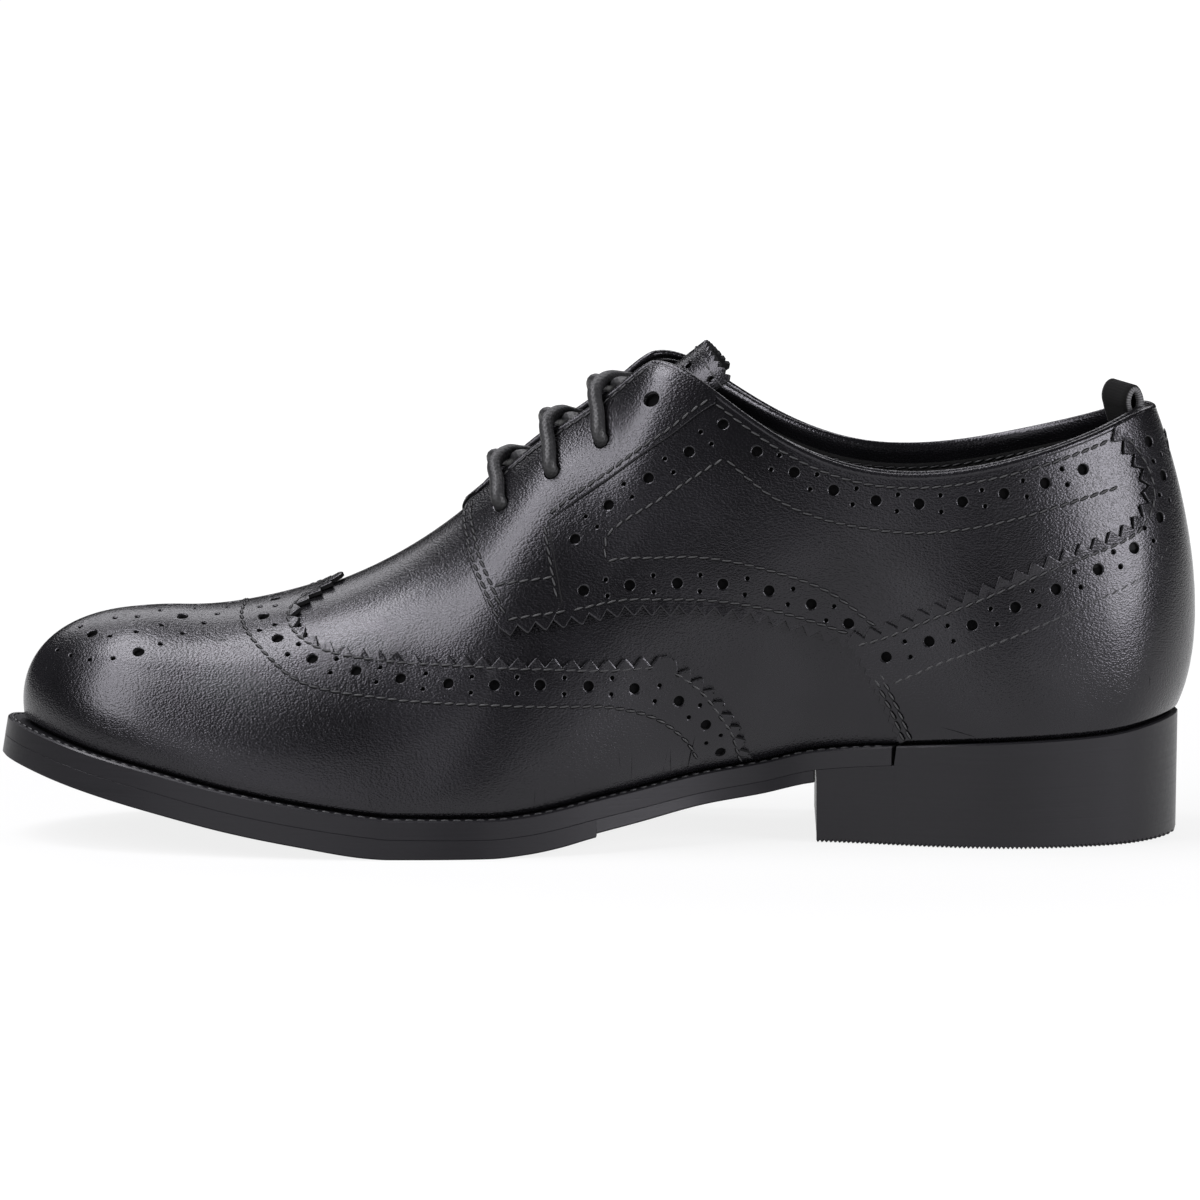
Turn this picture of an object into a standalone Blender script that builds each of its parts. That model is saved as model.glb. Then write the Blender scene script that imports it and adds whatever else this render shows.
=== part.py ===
"""Black leather wing-tip derby brogue: the right shoe, toe towards -X, medial side towards -Y.

Every piece is worked out from one set of rows. A row climbs the shoe from the feather line, where the
upper meets the sole, to the top line: the ridge of the vamp, the edge of the throat or the collar. The
rows run from the middle of the back, along the medial side to the toe, and home along the lateral side.
Sizes are in millimetres until a mesh is made.
"""

import math
from collections import namedtuple

import bmesh
import bpy
import numpy as np
from mathutils import Matrix, Vector

MM = 0.001

# Leather, seams and clearances
GAP = 0.3
OVERLAY = 1.1
WALL = 2.0
INSOLE_THICKNESS = 2.5
TONGUE_THICKNESS = 1.6
SEAM_GAP = 0.5

# Lace and eyelets: the eyelets lie on these rows, at one height on the facing. A lace leaves its eyelet,
# leans a little towards the toe as it climbs, turns over the edge of the facing and crosses the other lace
# over the throat. A drift is a share of the way to the next pair of eyelets.
LACE_RADIUS = 1.6
LACE_CLEARANCE = 0.4
EYELET_RADIUS = 1.9
EYELET_ROWS = (10.41, 9.74, 9.01, 8.01)
EYELET_HEIGHT = 0.85
LaceStep = namedtuple("LaceStep", "drift height rise")
LACE_CLIMB = (
    LaceStep(0.0, 0.86, 0.1),
    LaceStep(-0.06, 0.93, 0.2),
    LaceStep(-0.08, 1.0, 1.2),
)
LACE_CROSS_DRIFT, LACE_END_DRIFT = 0.12, 0.25
LACE_OVER, LACE_UNDER, LACE_END_RISE = 2.6, 0.2, 0.2
LACE_END_INSET = 2.2

# Pull loop: a tape folded over itself inside the collar
TAPE_THICKNESS = 1.2
TAPE_WIDTH = 10.0
TAPE_ROW = 33.5
TAPE_LEG_HEIGHTS = (0.87, 0.93, 1.0)
TAPE_FROM_WALL = 2.2
FoldStep = namedtuple("FoldStep", "across rise")
TAPE_FOLD = (
    FoldStep(-0.9, 1.6),
    FoldStep(-1.8, 4.0),
    FoldStep(0.0, 6.4),
    FoldStep(1.8, 4.0),
    FoldStep(0.9, 1.6),
)

# Sole
WELT_THICKNESS = 4.2
WELT_UNDER_UPPER = 1.5
EDGE_SLANT = 0.24
TREAD_STEP = 0.8
TREAD_END_X = -2.0
BREAST_X = 47.0
WELT_END_X = 64.0
HEEL_TAPER = 0.6

# Depths below the finished outside of the shoe
UPPER_DEPTH = OVERLAY + GAP
INSIDE_DEPTH = UPPER_DEPTH + WALL

# The rows: feather line and sole edge, top line, and the way the shoulder faces (0 sideways, 90 to the toe)
Row = namedtuple("Row", "foot_x edge top_x top_z turn")
ROWS = (
    Row(126.0, 0.9, 121.4, 94.0, -90),
    Row(118.5, 0.9, 118.0, 93.5, -58),
    Row(106.0, 0.9, 108.5, 89.9, -28),
    Row(90.0, 1.0, 93.0, 85.4, -10),
    Row(70.0, 1.2, 75.0, 82.2, 0),
    Row(47.0, 2.0, 56.0, 83.0, 0),
    Row(26.0, 2.3, 38.0, 90.3, 0),
    Row(11.0, 2.7, 23.0, 100.3, 0),
    Row(0.0, 2.9, 12.0, 104.2, 0),
    Row(-12.0, 3.2, 2.0, 98.7, 0),
    Row(-27.0, 3.3, -13.0, 88.0, 0),
    Row(-42.0, 3.4, -30.0, 72.2, 0),
    Row(-58.0, 3.5, -48.0, 60.3, 0),
    Row(-76.0, 3.7, -66.0, 53.3, 0),
    Row(-94.0, 3.9, -82.0, 50.1, 15),
    Row(-108.0, 4.2, -92.0, 49.8, 35),
    Row(-119.0, 4.6, -98.0, 49.6, 62),
    Row(-126.0, 5.0, -100.0, 49.5, 90),
)

# Each side of a row: half breadth at the feather and the top, the swell of the wall above the feather and
# the shoulder below the top line
Side = namedtuple("Side", "foot_y swell_out swell_up top_y shoulder_out shoulder_down")
MEDIAL = (
    Side(0.0, 7.5, 14.0, 0.0, 9.5, 26.0),
    Side(19.0, 6.5, 14.0, 8.5, 8.0, 25.0),
    Side(27.0, 5.5, 14.0, 16.8, 6.5, 24.0),
    Side(30.2, 4.5, 14.0, 24.3, 5.0, 24.0),
    Side(26.2, 5.5, 13.0, 26.8, 3.0, 23.0),
    Side(18.6, 8.5, 11.0, 25.6, 3.0, 22.0),
    Side(20.2, 11.0, 10.0, 22.0, 8.0, 20.0),
    Side(27.0, 9.0, 11.0, 15.5, 13.5, 13.0),
    Side(33.0, 6.5, 12.0, 7.8, 19.0, 7.0),
    Side(38.2, 5.0, 12.0, 2.0, 23.3, 5.3),
    Side(42.2, 3.5, 13.0, 0.0, 25.5, 3.7),
    Side(43.0, 2.5, 13.0, 0.0, 23.0, 0.0),
    Side(42.4, 2.0, 13.0, 0.0, 23.0, 0.0),
    Side(39.4, 2.0, 12.5, 0.0, 23.0, 0.0),
    Side(33.4, 2.5, 12.0, 0.0, 22.0, 0.0),
    Side(26.8, 2.5, 12.0, 0.0, 21.0, 0.0),
    Side(17.0, 2.5, 11.5, 0.0, 20.5, 0.0),
    Side(1.5, 2.5, 12.5, 0.0, 20.5, 0.0),
)
LATERAL = (
    Side(0.0, 7.5, 14.0, 0.0, 9.5, 26.0),
    Side(19.4, 6.5, 14.0, 8.5, 8.0, 25.0),
    Side(27.0, 5.5, 14.0, 16.8, 6.5, 24.0),
    Side(30.0, 4.5, 14.0, 24.0, 5.0, 24.0),
    Side(30.0, 4.5, 13.0, 26.4, 4.0, 24.0),
    Side(28.2, 5.5, 12.0, 25.6, 5.0, 23.0),
    Side(29.2, 6.5, 11.0, 22.0, 10.5, 21.0),
    Side(33.0, 5.0, 11.0, 15.5, 15.5, 14.0),
    Side(36.4, 4.0, 11.0, 7.8, 20.5, 8.0),
    Side(39.4, 3.0, 11.0, 2.0, 24.8, 6.3),
    Side(42.0, 2.5, 12.0, 0.0, 26.5, 4.5),
    Side(41.8, 2.2, 12.0, 0.0, 24.0, 0.0),
    Side(38.8, 2.0, 12.0, 0.0, 23.0, 0.0),
    Side(33.4, 2.0, 12.0, 0.0, 21.5, 0.0),
    Side(27.4, 2.2, 12.0, 0.0, 19.8, 0.0),
    Side(20.8, 2.5, 12.0, 0.0, 19.0, 0.0),
    Side(12.8, 2.5, 11.5, 0.0, 19.4, 0.0),
    Side(-1.5, 2.5, 12.5, 0.0, 20.5, 0.0),
)
TIP = len(ROWS) - 1
LOOP = 2 * TIP

# The throat: half its opening at the top corner of the facings and at its lower end
THROAT_TOP_ROW, THROAT_END_ROW = 8, 11
THROAT_TOP_HALF, THROAT_END_HALF = 7.5, 5.0
THROAT_ROUND = 0.4

# The sole seen from the side: underside and top at each place along the shoe
Station = namedtuple("Station", "x bottom top")
SOLE = (
    Station(-131.0, 17.4, 26.0),
    Station(-126.0, 16.0, 24.5),
    Station(-120.0, 14.3, 22.9),
    Station(-109.0, 11.5, 20.1),
    Station(-98.0, 8.9, 17.6),
    Station(-82.0, 5.4, 14.0),
    Station(-66.0, 2.6, 11.2),
    Station(-50.0, 0.2, 9.0),
    Station(-46.0, 0.0, 8.6),
    Station(-24.0, 0.0, 8.4),
    Station(-16.0, 0.6, 9.0),
    Station(-9.0, 1.7, 10.1),
    Station(-2.0, 3.3, 11.5),
    Station(9.0, 5.4, 13.4),
    Station(22.0, 8.0, 15.7),
    Station(35.0, 9.9, 17.6),
    Station(47.0, 12.5, 20.2),
    Station(64.0, 14.0, 21.9),
    Station(88.0, 15.5, 23.5),
    Station(110.0, 16.5, 24.5),
    Station(127.0, 18.0, 26.9),
)

# Edges of the overlays seen from the side, as places on the finished outside
Spot = namedtuple("Spot", "x z")
WING_TOP_EDGE = (
    Spot(-56.7, 57.6),
    Spot(-62.0, 54.6),
    Spot(-66.6, 52.9),
    Spot(-68.4, 51.0),
    Spot(-67.5, 48.6),
    Spot(-64.7, 46.5),
    Spot(-59.2, 44.6),
    Spot(-48.0, 43.6),
    Spot(-32.0, 43.3),
    Spot(-15.0, 43.0),
    Spot(2.0, 42.4),
    Spot(14.9, 42.7),
)
WING_BACK_EDGE = (
    Spot(14.9, 42.7),
    Spot(20.2, 39.3),
    Spot(25.2, 34.7),
    Spot(29.2, 28.8),
    Spot(32.0, 22.0),
    Spot(34.0, 15.0),
)
FACING_FRONT_EDGE = (
    Spot(-24.6, 78.5),
    Spot(-27.8, 73.4),
    Spot(-29.2, 69.0),
    Spot(-27.4, 63.0),
    Spot(-24.8, 56.0),
    Spot(-22.0, 49.1),
)
QUARTER_LOWER_EDGE = (
    Spot(-22.0, 49.1),
    Spot(-10.0, 51.0),
    Spot(2.0, 52.9),
    Spot(14.0, 53.6),
    Spot(26.0, 53.0),
    Spot(38.0, 50.8),
    Spot(54.0, 45.5),
)
COUNTER_TOP_EDGE = (
    Spot(54.0, 45.5),
    Spot(62.0, 47.6),
    Spot(72.0, 51.7),
    Spot(84.0, 56.6),
    Spot(96.0, 61.5),
    Spot(107.0, 65.4),
    Spot(115.5, 68.2),
    Spot(119.6, 73.0),
    Spot(119.5, 79.0),
    Spot(116.0, 85.2),
    Spot(111.0, 91.0),
)
COUNTER_FRONT_EDGE = (
    Spot(54.0, 45.5),
    Spot(57.6, 39.4),
    Spot(61.2, 31.8),
    Spot(64.2, 24.6),
    Spot(66.6, 16.0),
)

# The tongue's outside along its middle, with the radius it is wrapped to and its half breadth
TongueRow = namedtuple("TongueRow", "x z radius half")
TONGUE = (
    TongueRow(-40.0, 59.6, 26.0, 14.0),
    TongueRow(-30.0, 66.1, 25.0, 14.0),
    TongueRow(-19.4, 75.8, 20.0, 14.0),
    TongueRow(-7.5, 85.7, 16.5, 14.0),
    TongueRow(4.2, 94.6, 16.0, 14.0),
    TongueRow(13.0, 100.4, 14.0, 15.0),
    TongueRow(23.2, 108.3, 12.5, 16.0),
)


def spline(values, closed):
    """Return a smooth curve that passes through values at whole parameters."""
    values = np.asarray(values, float)
    count = len(values)
    following = np.roll(np.eye(count), 1, axis=1)
    system = 4.0 * np.eye(count) + following + following.T
    change = np.roll(values, -1, 0) - 2.0 * values + np.roll(values, 1, 0)
    if not closed:
        for end in (0, count - 1):
            system[end] = np.eye(count)[end]
            change[end] = 0.0
    bend = np.linalg.solve(system, change)

    def curve(at):
        at = np.asarray(at, float)
        low = np.floor(at).astype(int) if closed else np.clip(np.floor(at).astype(int), 0, count - 2)
        t = (at - low)[..., None]
        low, high = low % count, (low + 1) % count
        straight = (1.0 - t) * values[low] + t * values[high]
        bow = ((1.0 - t) ** 3 - (1.0 - t)) * bend[low] + (t**3 - t) * bend[high]
        return straight + bow

    return curve


def steady_curve(xs, ys):
    """Return a smooth function through the points that never overshoots them."""
    xs, ys = np.asarray(xs, float), np.asarray(ys, float)
    run = np.diff(xs)
    rise = np.diff(ys) / run
    slope = np.empty_like(ys)
    slope[0], slope[-1] = rise[0], rise[-1]
    for i in range(1, len(xs) - 1):
        same_way = rise[i - 1] * rise[i] > 0.0
        slope[i] = 2.0 * rise[i - 1] * rise[i] / (rise[i - 1] + rise[i]) if same_way else 0.0

    def curve(at):
        at = np.clip(np.asarray(at, float), xs[0], xs[-1])
        i = np.clip(np.searchsorted(xs, at) - 1, 0, len(xs) - 2)
        t = (at - xs[i]) / run[i]
        level = ys[i] * (1.0 + 2.0 * t) * (1.0 - t) ** 2 + ys[i + 1] * t**2 * (3.0 - 2.0 * t)
        return level + run[i] * t * (1.0 - t) * (slope[i] * (1.0 - t) - slope[i + 1] * t)

    return curve


sole_bottom = steady_curve([s.x for s in SOLE], [s.bottom for s in SOLE])
sole_top = steady_curve([s.x for s in SOLE], [s.top for s in SOLE])


def round_the_shoe(medial, lateral):
    """Join a value for each medial row to those of the lateral rows, home from toe to back."""
    return list(medial) + list(lateral)[TIP - 1 : 0 : -1]


def each_row(value):
    """Work out value(index, row, side, sign) for all rows, medial then lateral."""
    medial = [value(i, ROWS[i], MEDIAL[i], -1.0) for i in range(TIP + 1)]
    lateral = [value(i, ROWS[i], LATERAL[i], 1.0) for i in range(TIP + 1)]
    return round_the_shoe(medial, lateral)


def ridge_slope(i):
    """Rise of the top line along the shoe at a row near the toe."""
    ahead, behind = ROWS[min(i + 1, TIP)], ROWS[i - 1]
    return (ahead.top_z - behind.top_z) / (ahead.top_x - behind.top_x)


def shoulder_of(i, row, side, sign):
    turn = math.radians(row.turn)
    forward = side.shoulder_out * math.sin(turn)
    fall = forward * ridge_slope(i) if row.turn > 0 else 0.0
    sideways = sign * (side.top_y + side.shoulder_out * math.cos(turn))
    return (row.top_x - forward, sideways, row.top_z - side.shoulder_down - fall)


foot_line = spline(each_row(lambda i, row, side, sign: (row.foot_x, sign * side.foot_y)), True)
edge_width = spline(each_row(lambda i, row, side, sign: (row.edge,)), True)
top_line = spline(each_row(lambda i, row, side, sign: (row.top_x, sign * side.top_y, row.top_z)), True)
shoulder_line = spline(each_row(shoulder_of), True)


def outward(a):
    """Level direction that points away from the shoe at the feather line."""
    small = 0.01
    along = foot_line(a + small) - foot_line(a - small)
    along /= np.linalg.norm(along, axis=-1, keepdims=True)
    return np.stack([-along[..., 1], along[..., 0]], axis=-1)


def swell_rows():
    facing = outward(np.arange(LOOP))
    sizes = each_row(lambda i, row, side, sign: (side.swell_out, side.swell_up))
    return [(out * n[0], out * n[1], up) for n, (out, up) in zip(facing, sizes)]


swell_line = spline(swell_rows(), True)


def rows_from_back(a):
    return np.minimum(np.mod(a, LOOP), LOOP - np.mod(a, LOOP))


def half_throat(a):
    """Half the opening of the throat, rounding down to 0 where the vamp closes."""
    rows = rows_from_back(a)
    half = np.interp(rows, (THROAT_TOP_ROW, THROAT_END_ROW), (THROAT_TOP_HALF, THROAT_END_HALF))
    into_end = np.clip((rows - (THROAT_END_ROW - THROAT_ROUND)) / THROAT_ROUND, 0.0, 1.0)
    return np.where(rows < THROAT_TOP_ROW, 0.0, half * np.sqrt(1.0 - into_end**2))


def closed_surface(a, v):
    """Outside of the lasted shoe as if the throat were closed, v running from feather to top line."""
    v = v[..., None]
    foot = foot_line(a)
    foot = np.concatenate([foot, (sole_top(foot[..., 0]) + GAP)[..., None]], axis=-1)
    wall = foot + swell_line(a)
    top = top_line(a)
    ridge = np.clip(rows_from_back(a) - (THROAT_TOP_ROW + 1), 0.0, 1.0)
    top[..., 1] *= 1.0 - ridge**2 * (3.0 - 2.0 * ridge)
    u = 1.0 - v
    return u**3 * foot + 3.0 * u**2 * v * wall + 3.0 * u * v**2 * shoulder_line(a) + v**3 * top


def edge_height(a):
    """Height v at which the upper ends: 1 on collar and ridge, less beside the open throat."""
    half = half_throat(a)
    low, high = np.full(a.shape, 0.5), np.ones(a.shape)
    for _ in range(40):
        middle = (low + high) / 2.0
        outside = np.abs(closed_surface(a, middle)[..., 1]) > half
        low, high = np.where(outside, middle, low), np.where(outside, high, middle)
    return np.where(half > 0.0, low, 1.0)


def finished_surface(a, v):
    """Outside of the finished shoe at row a (0 to LOOP) and height v (0 feather, 1 edge of the upper)."""
    a, v = np.broadcast_arrays(np.asarray(a, float), np.asarray(v, float))
    return closed_surface(a, v * edge_height(a))


def surface_normal(a, v):
    a, v = np.broadcast_arrays(np.asarray(a, float), np.asarray(v, float))
    small = 0.002
    height = v * edge_height(a)
    on_ridge = height >= 1.0 - 1e-6
    height = np.clip(height, small, 1.0 - small)
    along = closed_surface(a + small, height) - closed_surface(a - small, height)
    up = closed_surface(a, height + small) - closed_surface(a, height - small)
    normal = np.cross(up, along)
    on_ridge &= rows_from_back(a) >= THROAT_END_ROW
    normal[..., 1] = np.where(on_ridge, 0.0, normal[..., 1])
    return normal / np.linalg.norm(normal, axis=-1, keepdims=True)


def under_surface(a, v, depth):
    """Point at a depth below the finished outside."""
    return finished_surface(a, v) - depth * surface_normal(a, v)


def row_at(x):
    """Medial row parameter whose feather point lies at x."""
    rows = np.linspace(0.0, TIP, 1701)
    return float(np.interp(-x, -foot_line(rows)[:, 0], rows))


def start_collection(name):
    collection = bpy.data.collections.new(name)
    bpy.context.scene.collection.children.link(collection)
    return collection


for leftover in list(bpy.data.objects):
    bpy.data.objects.remove(leftover, do_unlink=True)
SHOE = start_collection("wing_tip_derby_brogue")
CUTTERS = start_collection("cutters")


def finish(name, colour, roughness):
    material = bpy.data.materials.new(name)
    material.use_nodes = True
    shader = material.node_tree.nodes["Principled BSDF"]
    shader.inputs["Base Color"].default_value = (*colour, 1.0)
    shader.inputs["Roughness"].default_value = roughness
    shader.inputs["Metallic"].default_value = 0.0
    return material


LEATHER = finish("black_leather", (0.012, 0.012, 0.013), 0.35)
LINING = finish("black_lining", (0.02, 0.02, 0.02), 0.7)
RUBBER = finish("black_rubber", (0.02, 0.02, 0.022), 0.55)
CORD = finish("waxed_lace", (0.014, 0.014, 0.015), 0.6)


def add_object(name, bm, material):
    """Turn a bmesh in millimetres into a named object in metres."""
    bmesh.ops.transform(bm, matrix=Matrix.Scale(MM, 4), verts=bm.verts)
    mesh = bpy.data.meshes.new(name)
    bm.to_mesh(mesh)
    bm.free()
    piece = bpy.data.objects.new(name, mesh)
    if material is None:
        CUTTERS.objects.link(piece)
        piece.hide_render = True
        piece.display_type = "WIRE"
    else:
        SHOE.objects.link(piece)
        mesh.materials.append(material)
        mesh.shade_smooth()
        mesh.set_sharp_from_angle(angle=math.radians(40.0))
    return piece


def boolean(piece, cutter, operation):
    step = piece.modifiers.new(f"{operation.lower()} {cutter.name}", "BOOLEAN")
    step.operation = operation
    step.solver = "EXACT"
    step.object = cutter


def thicken(piece, thickness):
    """Give an open sheet its thickness, inwards from the side its faces point to."""
    step = piece.modifiers.new("thickness", "SOLIDIFY")
    step.thickness = thickness * MM
    step.offset = -1.0
    step.use_even_offset = True


def sheet(points):
    """Mesh a grid of points, rows by heights, with its faces pointing out of the shoe."""
    rows, heights = points.shape[:2]
    bm = bmesh.new()
    bmesh.ops.create_grid(bm, x_segments=rows - 1, y_segments=heights - 1, size=1.0)
    for vert in bm.verts:
        i = round((vert.co.x + 1.0) / 2.0 * (rows - 1))
        j = round((vert.co.y + 1.0) / 2.0 * (heights - 1))
        vert.co = Vector(points[i, j])
    bmesh.ops.reverse_faces(bm, faces=bm.faces)
    bmesh.ops.remove_doubles(bm, verts=bm.verts, dist=0.005)
    return bm


def loft(rings):
    """Skin a list of closed rings with the same number of points and cap both ends."""
    bm = bmesh.new()
    loops = [[bm.verts.new(point) for point in ring] for ring in rings]
    sides = len(loops[0])
    for near, far in zip(loops, loops[1:]):
        for k in range(sides):
            after = (k + 1) % sides
            bm.faces.new((near[k], near[after], far[after], far[k]))
    bm.faces.new(loops[0][::-1])
    bm.faces.new(loops[-1])
    bmesh.ops.remove_doubles(bm, verts=bm.verts, dist=0.005)
    bmesh.ops.dissolve_degenerate(bm, dist=0.005, edges=bm.edges)
    bmesh.ops.recalc_face_normals(bm, faces=bm.faces)
    return bm


def prism(name, outline, low_y, high_y):
    """Cutter with a side-view outline of (x, z) points, standing across the shoe."""
    bm = bmesh.new()
    face = bm.faces.new([bm.verts.new((x, low_y, z)) for x, z in outline])
    grown = bmesh.ops.extrude_face_region(bm, geom=[face])["geom"]
    moved = [item for item in grown if isinstance(item, bmesh.types.BMVert)]
    bmesh.ops.translate(bm, vec=(0.0, high_y - low_y, 0.0), verts=moved)
    bmesh.ops.recalc_face_normals(bm, faces=bm.faces)
    return add_object(name, bm, None)


# Grid of the upper: rows half a step apart, closer round the end of the throat
HALF_ROWS = np.unique(np.concatenate([np.arange(0.0, TIP + 0.1, 0.5), [10.75, 10.9]]))
ALL_ROWS = np.concatenate([HALF_ROWS, LOOP - HALF_ROWS[-2::-1]])
HEIGHTS = np.linspace(0.0, 1.0, 11)


def shell(rows, depth):
    return sheet(under_surface(rows[:, None], HEIGHTS[None, :], depth))


def edge_point(a, inset, height):
    """Point beside the feather line: inset is inwards, height runs from 0 at the tread to 1 at the top."""
    width = edge_width(a)[..., 0] * (1.0 - EDGE_SLANT * height)
    away = width if inset is None else -inset
    return foot_line(a) + away * outward(a)


def sole_section(a, bottom, top, taper):
    """Ring across the sole at row a, from the medial edge to the lateral edge and back over the top."""
    ring = []
    for row, height, level in ((a, 0.0, bottom), (-a, 0.0, bottom), (-a, 1.0, top), (a, 1.0, top)):
        x, y = edge_point(np.asarray(row), None, height)
        if height == 0.0 and taper:
            x, y = np.array((x, y)) - taper * outward(np.asarray(row))
        ring.append((x, y, float(level(x))))
    return ring


def strip(rows, inner_inset, outer, low, high):
    """Rings of a strip that follows the feather line."""
    rings = []
    for a in rows:
        at = np.asarray(a)
        inner = foot_line(at) - inner_inset * outward(at)
        ring = []
        for place, level in ((outer(at, 0.5), low), (outer(at, 1.0), high), (inner, high), (inner, low)):
            ring.append((place[0], place[1], float(level(place[0]))))
        rings.append(ring)
    return rings


def welt_rows(end_x):
    """Rows of the welt, from its medial end round the toe to its lateral end."""
    first = row_at(end_x)
    half = np.concatenate([[first], np.arange(math.ceil(first * 2.0) / 2.0, TIP + 0.1, 0.5)])
    return np.concatenate([half, LOOP - half[-2::-1]])


def welt_line(x):
    """Height of the line between welt and outsole."""
    return sole_top(x) - WELT_THICKNESS


def build_cutters():
    waist_x = np.linspace(TREAD_END_X, BREAST_X, 9)
    waist = [(x, float(sole_bottom(x)) + TREAD_STEP) for x in waist_x]
    low, high, back = -10.0, 60.0, 150.0
    prism("outsole_cutter", waist + [(BREAST_X, high), (back, high), (back, low), (TREAD_END_X, low)], -60, 60)
    breast = BREAST_X + GAP
    prism("breast_cutter", [(0.0, low), (breast, low), (breast, high), (0.0, high)], -60, 60)
    beyond = 0.6
    rings = strip(
        welt_rows(WELT_END_X + GAP),
        WELT_UNDER_UPPER + GAP,
        lambda a, height: edge_point(a, -edge_width(a)[0] - beyond, height),
        lambda x: welt_line(x) - GAP,
        lambda x: sole_top(x) + beyond,
    )
    add_object("welt_rebate", loft(rings), None)


def build_sole():
    rows = np.concatenate([np.arange(4.5, 13.0, 0.5), np.arange(13.0, TIP + 0.1, 0.25)])
    outsole = add_object("outsole", loft([sole_section(a, sole_bottom, sole_top, 0.0) for a in rows]), RUBBER)
    boolean(outsole, bpy.data.objects["outsole_cutter"], "DIFFERENCE")
    boolean(outsole, bpy.data.objects["welt_rebate"], "DIFFERENCE")

    rows = np.arange(0.0, 6.1, 0.25)
    rings = [sole_section(a, lambda x: 0.0, sole_top, HEEL_TAPER) for a in rows]
    heel = add_object("heel", loft(rings), RUBBER)
    boolean(heel, bpy.data.objects["breast_cutter"], "DIFFERENCE")
    boolean(heel, bpy.data.objects["welt_rebate"], "DIFFERENCE")

    rings = strip(
        welt_rows(WELT_END_X),
        WELT_UNDER_UPPER,
        lambda a, height: edge_point(a, None, height),
        welt_line,
        sole_top,
    )
    add_object("welt", loft(rings), RUBBER)


def build_insole():
    inset = INSIDE_DEPTH + 2.0 * GAP
    rings = []
    for a in np.concatenate([np.arange(0.0, 13.0, 0.5), np.arange(13.0, TIP + 0.1, 0.25)]):
        ring = []
        for row, lift in ((a, GAP), (-a, GAP), (-a, GAP + INSOLE_THICKNESS), (a, GAP + INSOLE_THICKNESS)):
            x, y = edge_point(np.asarray(row), inset, 1.0)
            ring.append((x, y, float(sole_top(x)) + lift))
        rings.append(ring)
    add_object("insole", loft(rings), LINING)


def build_upper():
    upper = add_object("upper", shell(ALL_ROWS, UPPER_DEPTH), LEATHER)
    thicken(upper, WALL)


def tongue_points(along, across):
    middle = spline([(row.x, row.z) for row in TONGUE], False)
    shape = spline([(row.radius, row.half) for row in TONGUE], False)
    small = 0.01
    points = np.zeros((len(along), len(across), 3))
    for i, s in enumerate(along):
        x, z = middle(np.asarray(s))
        ahead = middle(np.asarray(s + small)) - middle(np.asarray(s - small))
        ahead /= np.linalg.norm(ahead)
        radius, half = shape(np.asarray(s))
        for j, w in enumerate(across):
            angle = w * half / radius
            drop = radius * (1.0 - math.cos(angle))
            points[i, j] = (x + drop * ahead[1], radius * math.sin(angle), z - drop * ahead[0])
    return points


def build_tongue():
    along = np.linspace(0.0, len(TONGUE) - 1.0, 15)
    across = np.linspace(-1.0, 1.0, 9)
    tongue = add_object("tongue", sheet(tongue_points(along, across)), LEATHER)
    tongue.data.flip_normals()
    thicken(tongue, TONGUE_THICKNESS)


def edge_curve(spots, count, aside=0.0):
    """Smooth edge through the spots as a list of (x, z), moved aside to its left."""
    curve = spline(spots, False)
    small = 0.01
    at = np.linspace(0.0, len(spots) - 1.0, count)
    ahead = curve(at + small) - curve(at - small)
    ahead /= np.linalg.norm(ahead, axis=-1, keepdims=True)
    left = np.stack([-ahead[:, 1], ahead[:, 0]], axis=-1)
    return [tuple(point) for point in curve(at) + aside * left]


def overlay(name, rows, outline, low_y, high_y):
    """Leather laid on the upper: a slice of the finished outside, trimmed to a side-view outline."""
    piece = add_object(name, shell(rows, 0.0), LEATHER)
    thicken(piece, OVERLAY)
    boolean(piece, prism(f"{name}_outline", outline, low_y, high_y), "INTERSECT")
    return piece


def build_overlays():
    below, above, ahead, behind, aside = 0.0, 130.0, -150.0, 150.0, 70.0
    wing_end_row, counter_end_row, quarter_back_row = 5.0, 5.5, 1.0

    wing = edge_curve(WING_TOP_EDGE, 28) + edge_curve(WING_BACK_EDGE, 8)[1:]
    wing += [(WING_BACK_EDGE[-1].x, below), (ahead, below), (ahead, above), (WING_TOP_EDGE[0].x, above)]
    overlay("wing_cap", ALL_ROWS[rows_from_back(ALL_ROWS) >= wing_end_row], wing, -aside, aside)

    counter = edge_curve(COUNTER_FRONT_EDGE, 6)[::-1] + edge_curve(COUNTER_TOP_EDGE, 22)[1:]
    counter += [(COUNTER_TOP_EDGE[-1].x, above), (behind, above), (behind, below)]
    counter.append((COUNTER_FRONT_EDGE[-1].x, below))
    back_rows = np.arange(-counter_end_row, counter_end_row + 0.1, 0.5)
    overlay("counter", back_rows, counter, -aside, aside)

    seam = edge_curve(COUNTER_TOP_EDGE, 22, SEAM_GAP)
    quarter = edge_curve(FACING_FRONT_EDGE, 13) + edge_curve(QUARTER_LOWER_EDGE, 12)[1:-1]
    quarter += seam + [(seam[-1][0], above), (FACING_FRONT_EDGE[0].x, above)]
    side = HALF_ROWS[(HALF_ROWS >= quarter_back_row) & (HALF_ROWS <= THROAT_END_ROW)]
    overlay("quarter_medial", side, quarter, -aside, -GAP)
    overlay("quarter_lateral", LOOP - side[::-1], quarter, GAP, aside)


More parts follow.
